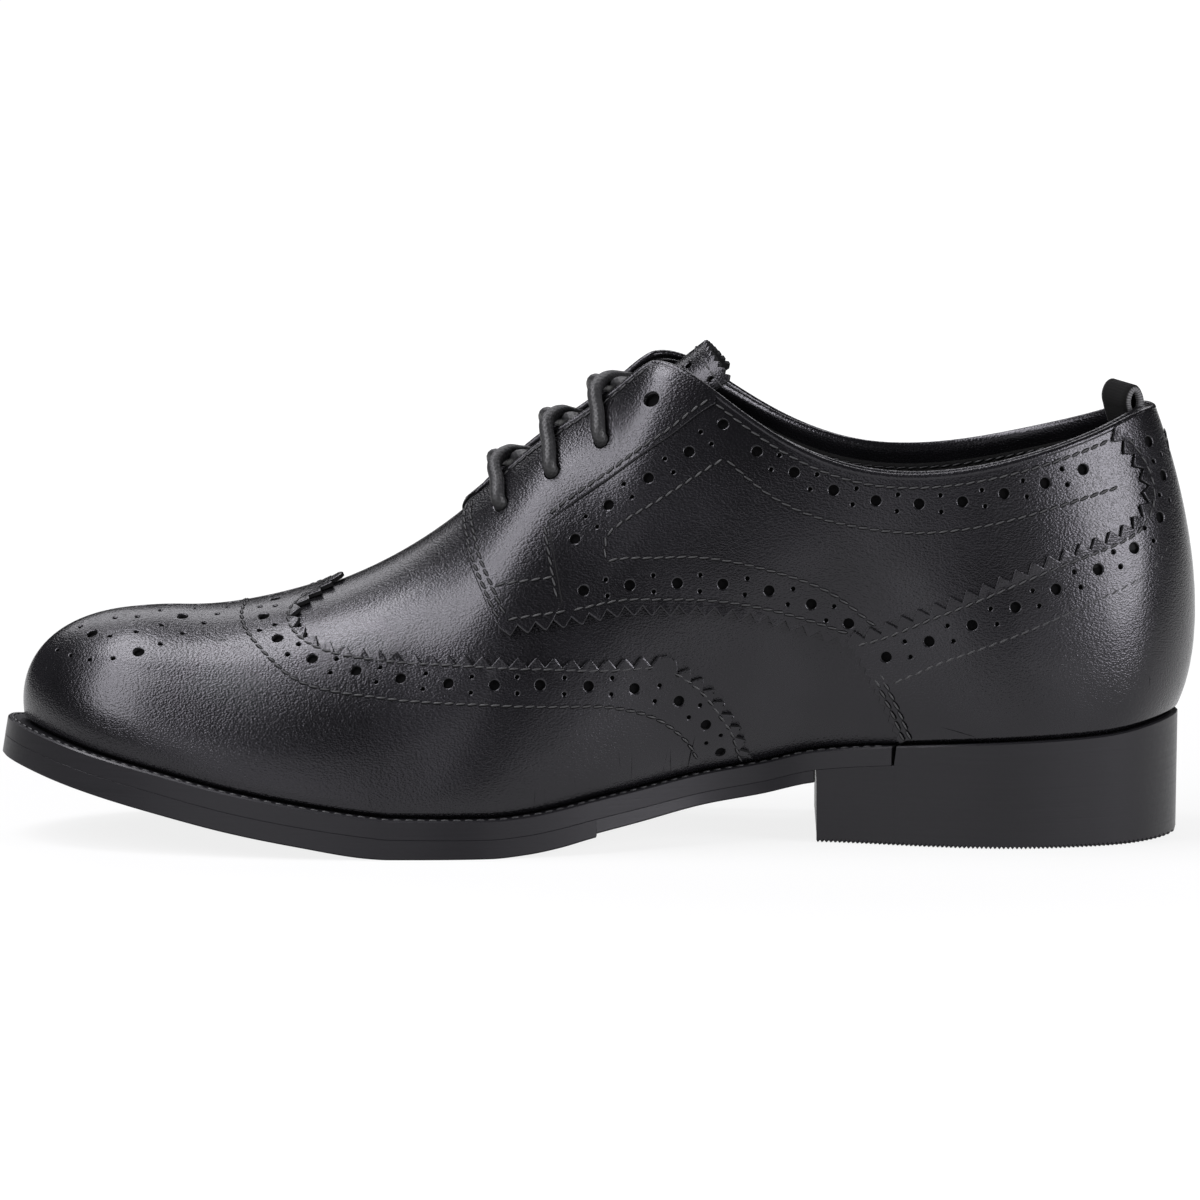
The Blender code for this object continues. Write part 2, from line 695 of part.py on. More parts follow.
def build_eyelets():
    """Cut the eyelets through both facings, square to the leather."""
    reach = 14.0
    bm = bmesh.new()
    for row in EYELET_ROWS:
        for a in (row, LOOP - row):
            normal = Vector(surface_normal(a, EYELET_HEIGHT))
            turn = normal.to_track_quat("Z", "Y").to_matrix().to_4x4()
            place = Matrix.Translation(under_surface(a, EYELET_HEIGHT, UPPER_DEPTH)) @ turn
            bmesh.ops.create_cone(
                bm,
                cap_ends=True,
                segments=12,
                radius1=EYELET_RADIUS,
                radius2=EYELET_RADIUS,
                depth=reach,
                matrix=place,
            )
    holes = add_object("eyelet_holes", bm, None)
    for name in ("upper", "quarter_medial", "quarter_lateral"):
        boolean(bpy.data.objects[name], holes, "DIFFERENCE")


def lace_route(row, next_row, side, rise):
    """Places along one lace, from its eyelet over the throat to the edge of the other facing.

    side is 1 for the lace that starts on the medial facing and -1 for the other; rise lifts it where they cross.
    """
    drift = next_row - row
    route = []
    for step in LACE_CLIMB:
        a = (row + step.drift * drift) * side % LOOP
        route.append(under_surface(a, step.height, -LACE_RADIUS - LACE_CLEARANCE - step.rise))
    middle = row + LACE_CROSS_DRIFT * drift
    near, far = finished_surface(middle, 1.0), finished_surface(LOOP - middle, 1.0)
    square = surface_normal(middle, 1.0) + surface_normal(LOOP - middle, 1.0)
    square /= np.linalg.norm(square)
    route.append((near + far) / 2.0 + rise * square)
    end = row + LACE_END_DRIFT * drift
    here, there = finished_surface(end * side % LOOP, 1.0), finished_surface(-end * side % LOOP, 1.0)
    back = (here - there) / np.linalg.norm(here - there)
    route.append(there + LACE_END_INSET * back + LACE_END_RISE * square)
    return route


def cord(name, route):
    """Round cord along a smooth curve through the route, as a closed mesh object."""
    path = spline(route, False)(np.linspace(0.0, len(route) - 1.0, 11)) * MM
    curve = bpy.data.curves.new(name, "CURVE")
    curve.dimensions = "3D"
    curve.bevel_depth = LACE_RADIUS * MM
    curve.bevel_resolution = 2
    curve.use_fill_caps = True
    line = curve.splines.new("POLY")
    line.points.add(len(path) - 1)
    for point, place in zip(line.points, path):
        point.co = (*place, 1.0)
    tube = bpy.data.objects.new(name, curve)
    SHOE.objects.link(tube)
    seen = tube.evaluated_get(bpy.context.evaluated_depsgraph_get())
    mesh = bpy.data.meshes.new_from_object(seen)
    bm = bmesh.new()
    bm.from_mesh(mesh)
    bmesh.ops.remove_doubles(bm, verts=bm.verts, dist=0.00001)
    bmesh.ops.recalc_face_normals(bm, faces=bm.faces)
    bm.to_mesh(mesh)
    bm.free()
    place = tube.matrix_world.copy()
    bpy.data.objects.remove(tube, do_unlink=True)
    piece = bpy.data.objects.new(name, mesh)
    piece.matrix_world = place
    mesh.materials.clear()
    mesh.materials.append(CORD)
    return piece


def build_laces():
    for i in range(len(EYELET_ROWS) - 1):
        row, next_row = EYELET_ROWS[i], EYELET_ROWS[i + 1]
        upper_cord = cord(f"lace_cross_{i + 1}", lace_route(row, next_row, 1, LACE_OVER))
        SHOE.objects.link(upper_cord)
        lower_cord = cord(f"lace_under_{i + 1}", lace_route(row, next_row, -1, LACE_UNDER))
        CUTTERS.objects.link(lower_cord)
        lower_cord.hide_render = True
        lower_cord.display_type = "WIRE"
        boolean(upper_cord, lower_cord, "UNION")


def build_pull_loop():
    """Folded tape on the inside of the collar at the back, a little to the lateral side."""
    outer_depth = INSIDE_DEPTH + TAPE_FROM_WALL + TAPE_THICKNESS / 2.0
    inner_depth = outer_depth + TAPE_THICKNESS + GAP
    outer_leg = [under_surface(TAPE_ROW, v, outer_depth) for v in TAPE_LEG_HEIGHTS]
    inner_leg = [under_surface(TAPE_ROW, v, inner_depth) for v in TAPE_LEG_HEIGHTS]
    up = np.array((0.0, 0.0, 1.0))
    inwards = inner_leg[-1] - outer_leg[-1]
    inwards[2] = 0.0
    inwards /= np.linalg.norm(inwards)
    middle = (outer_leg[-1] + inner_leg[-1]) / 2.0
    fold = [middle + step.across * inwards + step.rise * up for step in TAPE_FOLD]
    route = outer_leg + fold + inner_leg[::-1]
    path = spline(route, False)(np.linspace(0.0, len(route) - 1.0, 21))
    sideways = np.cross(up, inwards)
    breadth = np.array((-0.5, 0.0, 0.5)) * TAPE_WIDTH
    loop = add_object("pull_loop", sheet(path[:, None, :] + breadth[None, :, None] * sideways), LINING)
    thicken(loop, TAPE_THICKNESS)
    loop.modifiers["thickness"].offset = 0.0


build_cutters()
build_sole()
build_insole()
build_upper()
build_tongue()
build_overlays()
build_eyelets()
build_laces()
build_pull_loop()
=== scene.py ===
"""Looks of a black leather wing-tip derby brogue, the right shoe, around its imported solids.

The outside of the shoe is one smooth function of a row and a height. A row climbs from the feather line,
where the upper meets the sole, to the ridge or the collar; rows run from the middle of the back along the
medial side to the toe and home along the lateral side. Panels, stitches and perforations are laid out on
that surface in millimetres and become meshes in metres.
"""

import math
from collections import namedtuple
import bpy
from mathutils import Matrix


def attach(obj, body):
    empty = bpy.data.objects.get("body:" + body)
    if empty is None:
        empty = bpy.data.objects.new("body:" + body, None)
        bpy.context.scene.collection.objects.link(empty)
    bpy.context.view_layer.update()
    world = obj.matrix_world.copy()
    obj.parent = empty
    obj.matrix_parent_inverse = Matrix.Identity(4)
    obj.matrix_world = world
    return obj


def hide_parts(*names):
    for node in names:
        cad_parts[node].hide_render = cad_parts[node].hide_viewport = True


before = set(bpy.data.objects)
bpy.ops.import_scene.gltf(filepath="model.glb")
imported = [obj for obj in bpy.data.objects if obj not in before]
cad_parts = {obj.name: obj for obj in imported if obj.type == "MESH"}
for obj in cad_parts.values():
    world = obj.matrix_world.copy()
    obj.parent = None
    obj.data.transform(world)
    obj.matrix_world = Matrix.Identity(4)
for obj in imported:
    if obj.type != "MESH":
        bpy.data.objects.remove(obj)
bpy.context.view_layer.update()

from types import SimpleNamespace

import bmesh
import bpy
import numpy as np
from bpy.props import FloatProperty, FloatVectorProperty, PointerProperty
from mathutils import Matrix, Vector
from mathutils.kdtree import KDTree

bl_info = {
    "name": "Wing-tip derby brogue",
    "version": (1, 0, 0),
    "blender": (4, 5, 0),
    "location": "3D View > Sidebar > Brogue",
    "description": "Builds the leather, stitching, laces and sole of a brogue around its packed solids",
    "category": "Object",
}

MM = 0.001
SIDES = ("medial", "lateral")

# Leather and clearances
OVERLAY = 1.1
WALL = 2.0
GAP = 0.3
VAMP_DEPTH = OVERLAY + 0.05
LINING_DEPTH = OVERLAY + GAP + WALL

# The rows: feather line and sole edge, top line, and the way the shoulder faces (0 sideways, 90 to the toe)
Row = namedtuple("Row", "foot_x edge top_x top_z turn")
ROWS = (
    Row(126.0, 0.9, 121.4, 94.0, -90),
    Row(118.5, 0.9, 118.0, 93.5, -58),
    Row(106.0, 0.9, 108.5, 89.9, -28),
    Row(90.0, 1.0, 93.0, 85.4, -10),
    Row(70.0, 1.2, 75.0, 82.2, 0),
    Row(47.0, 2.0, 56.0, 83.0, 0),
    Row(26.0, 2.3, 38.0, 90.3, 0),
    Row(11.0, 2.7, 23.0, 100.3, 0),
    Row(0.0, 2.9, 12.0, 104.2, 0),
    Row(-12.0, 3.2, 2.0, 98.7, 0),
    Row(-27.0, 3.3, -13.0, 88.0, 0),
    Row(-42.0, 3.4, -30.0, 72.2, 0),
    Row(-58.0, 3.5, -48.0, 60.3, 0),
    Row(-76.0, 3.7, -66.0, 53.3, 0),
    Row(-94.0, 3.9, -82.0, 50.1, 15),
    Row(-108.0, 4.2, -92.0, 49.8, 35),
    Row(-119.0, 4.6, -98.0, 49.6, 62),
    Row(-126.0, 5.0, -100.0, 49.5, 90),
)

# Each side of a row: half breadth at the feather and the top, the swell of the wall above the feather and
# the shoulder below the top line
Side = namedtuple("Side", "foot_y swell_out swell_up top_y shoulder_out shoulder_down")
MEDIAL = (
    Side(0.0, 7.5, 14.0, 0.0, 9.5, 26.0),
    Side(19.0, 6.5, 14.0, 8.5, 8.0, 25.0),
    Side(27.0, 5.5, 14.0, 16.8, 6.5, 24.0),
    Side(30.2, 4.5, 14.0, 24.3, 5.0, 24.0),
    Side(26.2, 5.5, 13.0, 26.8, 3.0, 23.0),
    Side(18.6, 8.5, 11.0, 25.6, 3.0, 22.0),
    Side(20.2, 11.0, 10.0, 22.0, 8.0, 20.0),
    Side(27.0, 9.0, 11.0, 15.5, 13.5, 13.0),
    Side(33.0, 6.5, 12.0, 7.8, 19.0, 7.0),
    Side(38.2, 5.0, 12.0, 2.0, 23.3, 5.3),
    Side(42.2, 3.5, 13.0, 0.0, 25.5, 3.7),
    Side(43.0, 2.5, 13.0, 0.0, 23.0, 0.0),
    Side(42.4, 2.0, 13.0, 0.0, 23.0, 0.0),
    Side(39.4, 2.0, 12.5, 0.0, 23.0, 0.0),
    Side(33.4, 2.5, 12.0, 0.0, 22.0, 0.0),
    Side(26.8, 2.5, 12.0, 0.0, 21.0, 0.0),
    Side(17.0, 2.5, 11.5, 0.0, 20.5, 0.0),
    Side(1.5, 2.5, 12.5, 0.0, 20.5, 0.0),
)
LATERAL = (
    Side(0.0, 7.5, 14.0, 0.0, 9.5, 26.0),
    Side(19.4, 6.5, 14.0, 8.5, 8.0, 25.0),
    Side(27.0, 5.5, 14.0, 16.8, 6.5, 24.0),
    Side(30.0, 4.5, 14.0, 24.0, 5.0, 24.0),
    Side(30.0, 4.5, 13.0, 26.4, 4.0, 24.0),
    Side(28.2, 5.5, 12.0, 25.6, 5.0, 23.0),
    Side(29.2, 6.5, 11.0, 22.0, 10.5, 21.0),
    Side(33.0, 5.0, 11.0, 15.5, 15.5, 14.0),
    Side(36.4, 4.0, 11.0, 7.8, 20.5, 8.0),
    Side(39.4, 3.0, 11.0, 2.0, 24.8, 6.3),
    Side(42.0, 2.5, 12.0, 0.0, 26.5, 4.5),
    Side(41.8, 2.2, 12.0, 0.0, 24.0, 0.0),
    Side(38.8, 2.0, 12.0, 0.0, 23.0, 0.0),
    Side(33.4, 2.0, 12.0, 0.0, 21.5, 0.0),
    Side(27.4, 2.2, 12.0, 0.0, 19.8, 0.0),
    Side(20.8, 2.5, 12.0, 0.0, 19.0, 0.0),
    Side(12.8, 2.5, 11.5, 0.0, 19.4, 0.0),
    Side(-1.5, 2.5, 12.5, 0.0, 20.5, 0.0),
)
TIP = len(ROWS) - 1
LOOP = 2 * TIP

# The throat: half its opening at the top corner of the facings and at its lower end
THROAT_TOP_ROW, THROAT_END_ROW = 8, 11
THROAT_TOP_HALF, THROAT_END_HALF = 7.5, 5.0
THROAT_ROUND = 0.4

# The sole seen from the side: underside and top at each place along the shoe
Station = namedtuple("Station", "x bottom top")
SOLE = (
    Station(-131.0, 17.4, 26.0),
    Station(-126.0, 16.0, 24.5),
    Station(-120.0, 14.3, 22.9),
    Station(-109.0, 11.5, 20.1),
    Station(-98.0, 8.9, 17.6),
    Station(-82.0, 5.4, 14.0),
    Station(-66.0, 2.6, 11.2),
    Station(-50.0, 0.2, 9.0),
    Station(-46.0, 0.0, 8.6),
    Station(-24.0, 0.0, 8.4),
    Station(-16.0, 0.6, 9.0),
    Station(-9.0, 1.7, 10.1),
    Station(-2.0, 3.3, 11.5),
    Station(9.0, 5.4, 13.4),
    Station(22.0, 8.0, 15.7),
    Station(35.0, 9.9, 17.6),
    Station(47.0, 12.5, 20.2),
    Station(64.0, 14.0, 21.9),
    Station(88.0, 15.5, 23.5),
    Station(110.0, 16.5, 24.5),
    Station(127.0, 18.0, 26.9),
)

# The tongue's outside along its middle, with the radius it is wrapped to and its half breadth
TongueRow = namedtuple("TongueRow", "x z radius half")
TONGUE = (
    TongueRow(-40.0, 59.6, 26.0, 14.0),
    TongueRow(-30.0, 66.1, 25.0, 14.0),
    TongueRow(-19.4, 75.8, 20.0, 14.0),
    TongueRow(-7.5, 85.7, 16.5, 14.0),
    TongueRow(4.2, 94.6, 16.0, 14.0),
    TongueRow(13.0, 100.4, 14.0, 15.0),
    TongueRow(23.2, 108.3, 12.5, 16.0),
)

# Edges, stitch lines and rows of perforations on one side of the shoe. A Spot is a place seen from the
# side, a Crest a place seen from above on the medial half, a Sight a place as the camera sees that half.
VIEW_ELEVATION = math.radians(8.0)
Spot = namedtuple("Spot", "x z")
Crest = namedtuple("Crest", "x y")
Sight = namedtuple("Sight", "x rise")
WING_EDGE = (
    Crest(-56.2, 0.0), Crest(-57.4, 3.2), Crest(-60.9, 7.4), Crest(-64.8, 11.6), Crest(-65.6, 16.6),
    Crest(-62.9, 21.6), Spot(-57.4, 44.7), Spot(-49.0, 43.8), Spot(-38.0, 43.4), Spot(-24.0, 43.2),
    Spot(-10.0, 42.8), Spot(3.0, 42.4), Spot(14.9, 42.7),
)
WING_BACK = (
    Spot(14.9, 42.7), Spot(20.2, 39.3), Spot(25.2, 34.7), Spot(29.2, 28.8), Spot(31.6, 24.1),
    Spot(33.3, 18.4),
)
WING_INNER_STITCH = (
    Crest(-77.0, 0.0), Crest(-78.3, 7.5), Crest(-77.9, 14.6), Crest(-74.8, 21.6), Spot(-68.0, 38.4),
    Spot(-59.3, 35.5), Spot(-48.3, 34.2), Spot(-34.0, 33.3), Spot(-20.0, 32.8), Spot(-8.0, 32.4),
    Spot(4.3, 31.5), Spot(13.1, 28.4), Spot(19.0, 23.2), Spot(21.3, 18.6),
)
WING_HOLES = (
    Crest(-71.2, 4.4), Crest(-73.6, 12.8), Crest(-70.4, 20.9), Spot(-62.8, 41.7), Spot(-53.2, 39.6),
    Spot(-43.5, 38.3), Spot(-33.1, 37.5), Spot(-23.0, 37.3), Spot(-13.0, 37.2), Spot(-2.4, 36.7),
    Spot(7.6, 35.8), Spot(17.3, 32.6), Spot(23.2, 26.9), Spot(26.4, 20.2),
)
FACING_FRONT = (
    Sight(-27.8, 73.2), Sight(-30.0, 68.6), Sight(-29.5, 63.3), Sight(-28.1, 57.6), Sight(-25.9, 52.2),
    Sight(-23.9, 47.5), Spot(-21.9, 49.0),
)
QUARTER_EDGE = (
    Spot(-21.9, 49.0), Spot(-10.9, 50.8), Spot(0.0, 52.7), Spot(11.0, 53.6), Spot(21.9, 53.3),
    Spot(32.9, 51.8), Spot(43.9, 48.9), Spot(55.5, 44.9),
)
FACING_SEAM = (
    Sight(25.2, 93.0), Sight(16.1, 86.6), Sight(7.0, 80.3), Sight(-2.0, 73.9), Sight(-11.1, 67.5),
)
FACING_BACK = (Sight(-11.1, 67.5), Sight(-10.2, 61.6), Sight(-9.2, 55.8), Sight(-8.2, 49.9))
FACING_BOX = (Spot(-23.8, 57.4), Spot(-16.5, 58.8), Spot(-9.2, 60.0))
PANEL_FRONT = (
    Spot(1.1, 63.2), Spot(1.2, 67.2), Spot(3.3, 70.4), Spot(10.9, 75.2), Spot(19.7, 80.7),
    Spot(27.3, 85.2),
)
PANEL_TOP = (
    Spot(27.3, 85.2), Spot(35.1, 78.7), Spot(43.7, 73.9), Spot(57.0, 70.4), Spot(70.2, 69.4),
    Spot(87.6, 71.7), Spot(100.9, 75.0), Spot(113.5, 78.2),
)
PANEL_LOW = (
    Spot(1.1, 63.2), Spot(11.0, 64.0), Spot(21.9, 64.0), Spot(33.0, 62.1), Spot(43.7, 58.9),
    Spot(52.6, 54.5), Spot(60.4, 48.4),
)
FACING_HOLES = (Spot(-5.5, 67.9), Spot(1.8, 75.1), Spot(10.5, 81.0), Spot(19.4, 86.6), Spot(26.8, 92.4))
COLLAR_HOLES = (
    Spot(34.2, 86.7), Spot(42.3, 82.3), Spot(50.9, 78.5), Spot(60.1, 76.3), Spot(69.5, 75.7),
    Spot(79.0, 76.2), Spot(88.1, 77.9), Spot(97.1, 79.9), Spot(105.4, 82.4),
)
LOWER_HOLES = (
    Spot(-3.6, 57.1), Spot(6.5, 58.2), Spot(16.9, 58.5), Spot(26.8, 58.2), Spot(36.9, 56.6),
    Spot(46.1, 53.5), Spot(54.2, 49.2),
)
COUNTER_EDGE = (
    Spot(54.0, 45.3), Spot(61.3, 47.2), Spot(70.1, 50.9), Spot(78.8, 54.4), Spot(87.7, 58.1),
    Spot(96.4, 61.6), Spot(104.0, 64.3), Spot(111.0, 66.6), Spot(116.6, 69.3), Spot(119.4, 73.4),
    Spot(119.6, 78.0), Spot(117.6, 83.0), Spot(114.4, 87.4), Spot(111.6, 90.6),
)
COUNTER_FRONT = (Spot(54.0, 45.3), Spot(57.5, 39.4), Spot(61.5, 31.2), Spot(63.8, 26.2), Spot(65.6, 21.6))
COUNTER_STITCH = (
    Spot(63.6, 36.1), Spot(71.0, 39.5), Spot(78.9, 42.8), Spot(96.5, 49.5), Spot(109.6, 54.8),
    Spot(120.2, 60.0), Spot(124.6, 66.5), Spot(125.3, 73.0), Spot(124.6, 82.0), Spot(123.2, 89.0),
)
COUNTER_HOLES = (
    Spot(62.5, 42.1), Spot(71.8, 45.8), Spot(81.1, 49.5), Spot(90.5, 53.4), Spot(99.3, 57.1),
    Spot(108.4, 60.9), Spot(116.3, 64.9), Spot(122.0, 70.8), Spot(122.8, 79.4), Spot(119.6, 87.0),
)

# Toe medallion on the medial half, repeated on the lateral half; the holes on the middle line are single
MEDALLION_MIDDLE_LARGE = (Crest(-80.2, 0.0), Crest(-100.7, 0.0))
MEDALLION_MIDDLE_SMALL = (Crest(-87.6, 0.0), Crest(-94.1, 0.0), Crest(-107.4, 0.0))
MEDALLION_LARGE = (Crest(-91.4, 8.4), Crest(-111.2, 10.0), Crest(-100.8, 19.0))
MEDALLION_SMALL = (
    Crest(-81.6, 4.6), Crest(-83.8, 8.4), Crest(-86.6, 12.0), Crest(-91.2, 15.2), Crest(-96.0, 17.8),
    Crest(-106.4, 18.8), Crest(-111.6, 16.6), Crest(-115.8, 12.8), Crest(-118.8, 8.8), Crest(-88.6, 4.0),
    Crest(-96.3, 5.2), Crest(-95.9, 11.8), Crest(-101.3, 7.6), Crest(-101.4, 13.4), Crest(-106.2, 6.4),
    Crest(-107.2, 12.8), Crest(-113.8, 5.6),
)
WING_PEAK_HOLES = (Crest(-68.6, 0.0), Crest(-72.2, 0.0))

# Holes in the tongue: place along it, place across it on either side of its middle, and breadth
TongueHole = namedtuple("TongueHole", "s w breadth")
TONGUE_HOLES = (TongueHole(5.55, 0.38, 1.6), TongueHole(5.72, 0.85, 1.3))

# Eyelets and laces: each lace climbs from its eyelet, crosses the other over the throat and goes under the
# other facing
EYELET_ROWS = (10.41, 9.74, 9.01, 8.01)
EYELET_HEIGHT = 0.85
LACE_RADIUS = 1.6
LACE_CLEARANCE = 0.4
LaceStep = namedtuple("LaceStep", "drift height rise")
LACE_CLIMB = (LaceStep(0.0, 0.86, 0.1), LaceStep(-0.06, 0.93, 0.2), LaceStep(-0.08, 1.0, 1.2))
LACE_CROSS_DRIFT, LACE_END_DRIFT = 0.12, 0.25
LACE_OVER, LACE_UNDER, LACE_END_RISE = 2.6, 0.2, 0.2
LACE_END_INSET = 2.2
LACE_IN_EYELET = (5.0, 1.0)
LACE_TAIL, LACE_TAIL_DRIFT = ((0.97, 3.2), (0.92, 4.2)), 0.5
LACE_SIDES, LACE_THINNING, LACE_THINNED = 14, 0.7, (0.8, 0.95)
PATH_POINTS = 90

# Pull loop: a tape folded over itself inside the collar
TAPE_THICKNESS, TAPE_LAYER = 1.2, 1.8
TAPE_ROW = 33.5
TAPE_LEG_HEIGHTS = (0.87, 0.93, 1.0)
TAPE_FROM_WALL = 2.2
TAPE_COLUMNS, TAPE_EDGE_THINNING = 13, 0.45
FoldStep = namedtuple("FoldStep", "across rise")
TAPE_FOLD = (
    FoldStep(-1.2, 1.6),
    FoldStep(-1.5, 4.0),
    FoldStep(0.0, 6.2),
    FoldStep(1.5, 4.0),
    FoldStep(1.2, 1.6),
)

# Sole unit
WELT_THICKNESS = 4.2
WELT_UNDER_UPPER = 1.5
EDGE_SLANT = 0.24
TREAD_STEP = 0.8
TREAD_END_X = -2.0
BREAST_X = 47.0
WELT_END_X = 64.0
WELT_JOINT = 0.8
HEEL_TAPER = 0.6
HEEL_RIB, HEEL_RIB_DEPTH = 0.96, 0.55
SOLE_CHAMFER, JOINT_CHAMFER = 0.35, 0.08
INSOLE_THICKNESS, INSOLE_CHAMFER = 2.5, 0.5
TREAD_INSET, TOP_DIP = 2.0, 0.4
WELT_STITCH_INSET, WELT_STITCH_ENDS, WELT_STITCH = 1.1, 0.1, (0.72, 0.7, 0.5)


def spline(values, closed):
    """Return a smooth curve that passes through values at whole parameters."""
    values = np.asarray(values, float)
    count = len(values)
    following = np.roll(np.eye(count), 1, axis=1)
    system = 4.0 * np.eye(count) + following + following.T
    change = np.roll(values, -1, 0) - 2.0 * values + np.roll(values, 1, 0)
    if not closed:
        for end in (0, count - 1):
            system[end] = np.eye(count)[end]
            change[end] = 0.0
    bend = np.linalg.solve(system, change)

    def curve(at):
        at = np.asarray(at, float)
        low = np.floor(at).astype(int) if closed else np.clip(np.floor(at).astype(int), 0, count - 2)
        t = (at - low)[..., None]
        low, high = low % count, (low + 1) % count
        straight = (1.0 - t) * values[low] + t * values[high]
        bow = ((1.0 - t) ** 3 - (1.0 - t)) * bend[low] + (t**3 - t) * bend[high]
        return straight + bow

    return curve


def steady_curve(xs, ys):
    """Return a smooth function through the points that never overshoots them."""
    xs, ys = np.asarray(xs, float), np.asarray(ys, float)
    run = np.diff(xs)
    rise = np.diff(ys) / run
    slope = np.empty_like(ys)
    slope[0], slope[-1] = rise[0], rise[-1]
    for i in range(1, len(xs) - 1):
        same_way = rise[i - 1] * rise[i] > 0.0
        slope[i] = 2.0 * rise[i - 1] * rise[i] / (rise[i - 1] + rise[i]) if same_way else 0.0

    def curve(at):
        at = np.clip(np.asarray(at, float), xs[0], xs[-1])
        i = np.clip(np.searchsorted(xs, at) - 1, 0, len(xs) - 2)
        t = (at - xs[i]) / run[i]
        level = ys[i] * (1.0 + 2.0 * t) * (1.0 - t) ** 2 + ys[i + 1] * t**2 * (3.0 - 2.0 * t)
        return level + run[i] * t * (1.0 - t) * (slope[i] * (1.0 - t) - slope[i + 1] * t)

    return curve


def smooth_step(low, high, value):
    """Rise smoothly from 0 at low to 1 at high."""
    t = np.clip((value - low) / (high - low), 0.0, 1.0)
    return t**2 * (3.0 - 2.0 * t)


sole_bottom = steady_curve([s.x for s in SOLE], [s.bottom for s in SOLE])
sole_top = steady_curve([s.x for s in SOLE], [s.top for s in SOLE])


def each_row(value):
    """Work out value(index, row, side, sign) for every row round the shoe."""
    medial = [value(i, ROWS[i], MEDIAL[i], -1.0) for i in range(TIP + 1)]
    lateral = [value(i, ROWS[i], LATERAL[i], 1.0) for i in range(TIP + 1)]
    return medial + lateral[TIP - 1 : 0 : -1]


def ridge_slope(i):
    """Rise of the top line along the shoe at a row near the toe."""
    ahead, behind = ROWS[min(i + 1, TIP)], ROWS[i - 1]
    return (ahead.top_z - behind.top_z) / (ahead.top_x - behind.top_x)


def shoulder_of(i, row, side, sign):
    turn = math.radians(row.turn)
    forward = side.shoulder_out * math.sin(turn)
    fall = forward * ridge_slope(i) if row.turn > 0 else 0.0
    sideways = sign * (side.top_y + side.shoulder_out * math.cos(turn))
    return (row.top_x - forward, sideways, row.top_z - side.shoulder_down - fall)


foot_line = spline(each_row(lambda i, row, side, sign: (row.foot_x, sign * side.foot_y)), True)
edge_width = spline(each_row(lambda i, row, side, sign: (row.edge,)), True)
top_line = spline(each_row(lambda i, row, side, sign: (row.top_x, sign * side.top_y, row.top_z)), True)
shoulder_line = spline(each_row(shoulder_of), True)


def outward(a):
    """Level direction that points away from the shoe at the feather line."""
    small = 0.01
    along = foot_line(a + small) - foot_line(a - small)
    along /= np.linalg.norm(along, axis=-1, keepdims=True)
    return np.stack([-along[..., 1], along[..., 0]], axis=-1)


def swell_rows():
    facing = outward(np.arange(LOOP))
    sizes = each_row(lambda i, row, side, sign: (side.swell_out, side.swell_up))
    return [(out * n[0], out * n[1], up) for n, (out, up) in zip(facing, sizes)]


swell_line = spline(swell_rows(), True)


def rows_from_back(a):
    return np.minimum(np.mod(a, LOOP), LOOP - np.mod(a, LOOP))


def outside(a, h):
    """Outside of the lasted shoe as if the throat were closed, h running from feather to top line."""
    a, h = np.broadcast_arrays(np.asarray(a, float), np.asarray(h, float))
    h = h[..., None]
    foot = foot_line(a)
    foot = np.concatenate([foot, (sole_top(foot[..., 0]) + GAP)[..., None]], axis=-1)
    wall = foot + swell_line(a)
    top = top_line(a)
    ridge = np.clip(rows_from_back(a) - (THROAT_TOP_ROW + 1), 0.0, 1.0)
    top[..., 1] *= 1.0 - ridge**2 * (3.0 - 2.0 * ridge)
    u = 1.0 - h
    return u**3 * foot + 3.0 * u**2 * h * wall + 3.0 * u * h**2 * shoulder_line(a) + h**3 * top


def outside_normal(a, h):
    a, h = np.broadcast_arrays(np.asarray(a, float), np.asarray(h, float))
    small = 0.002
    on_ridge = (h >= 1.0 - 1e-6) & (rows_from_back(a) >= THROAT_END_ROW)
    h = np.clip(h, small, 1.0 - small)
    along = outside(a + small, h) - outside(a - small, h)
    up = outside(a, h + small) - outside(a, h - small)
    normal = np.cross(up, along)
    normal[..., 1] = np.where(on_ridge, 0.0, normal[..., 1])
    return normal / np.linalg.norm(normal, axis=-1, keepdims=True)


def lifted(a, h, lift):
    """Place at a height above the finished outside, or below it where lift is negative."""
    return outside(a, h) + np.asarray(lift)[..., None] * outside_normal(a, h)


HALVINGS, SETTLE_ROUNDS = 40, 12


def edge_height(a):
    """Height at which the upper ends: 1 on collar and ridge, less beside the open throat."""
    a = np.asarray(a, float)
    rows = rows_from_back(a)
    half = np.interp(rows, (THROAT_TOP_ROW, THROAT_END_ROW), (THROAT_TOP_HALF, THROAT_END_HALF))
    into_end = np.clip((rows - (THROAT_END_ROW - THROAT_ROUND)) / THROAT_ROUND, 0.0, 1.0)
    half = np.where(rows < THROAT_TOP_ROW, 0.0, half * np.sqrt(1.0 - into_end**2))
    low, high = np.full(a.shape, 0.5), np.ones(a.shape)
    for _ in range(HALVINGS):
        middle = (low + high) / 2.0
        beyond = np.abs(outside(a, middle)[..., 1]) > half
        low, high = np.where(beyond, middle, low), np.where(beyond, high, middle)
    return np.where(half > 0.0, low, 1.0)


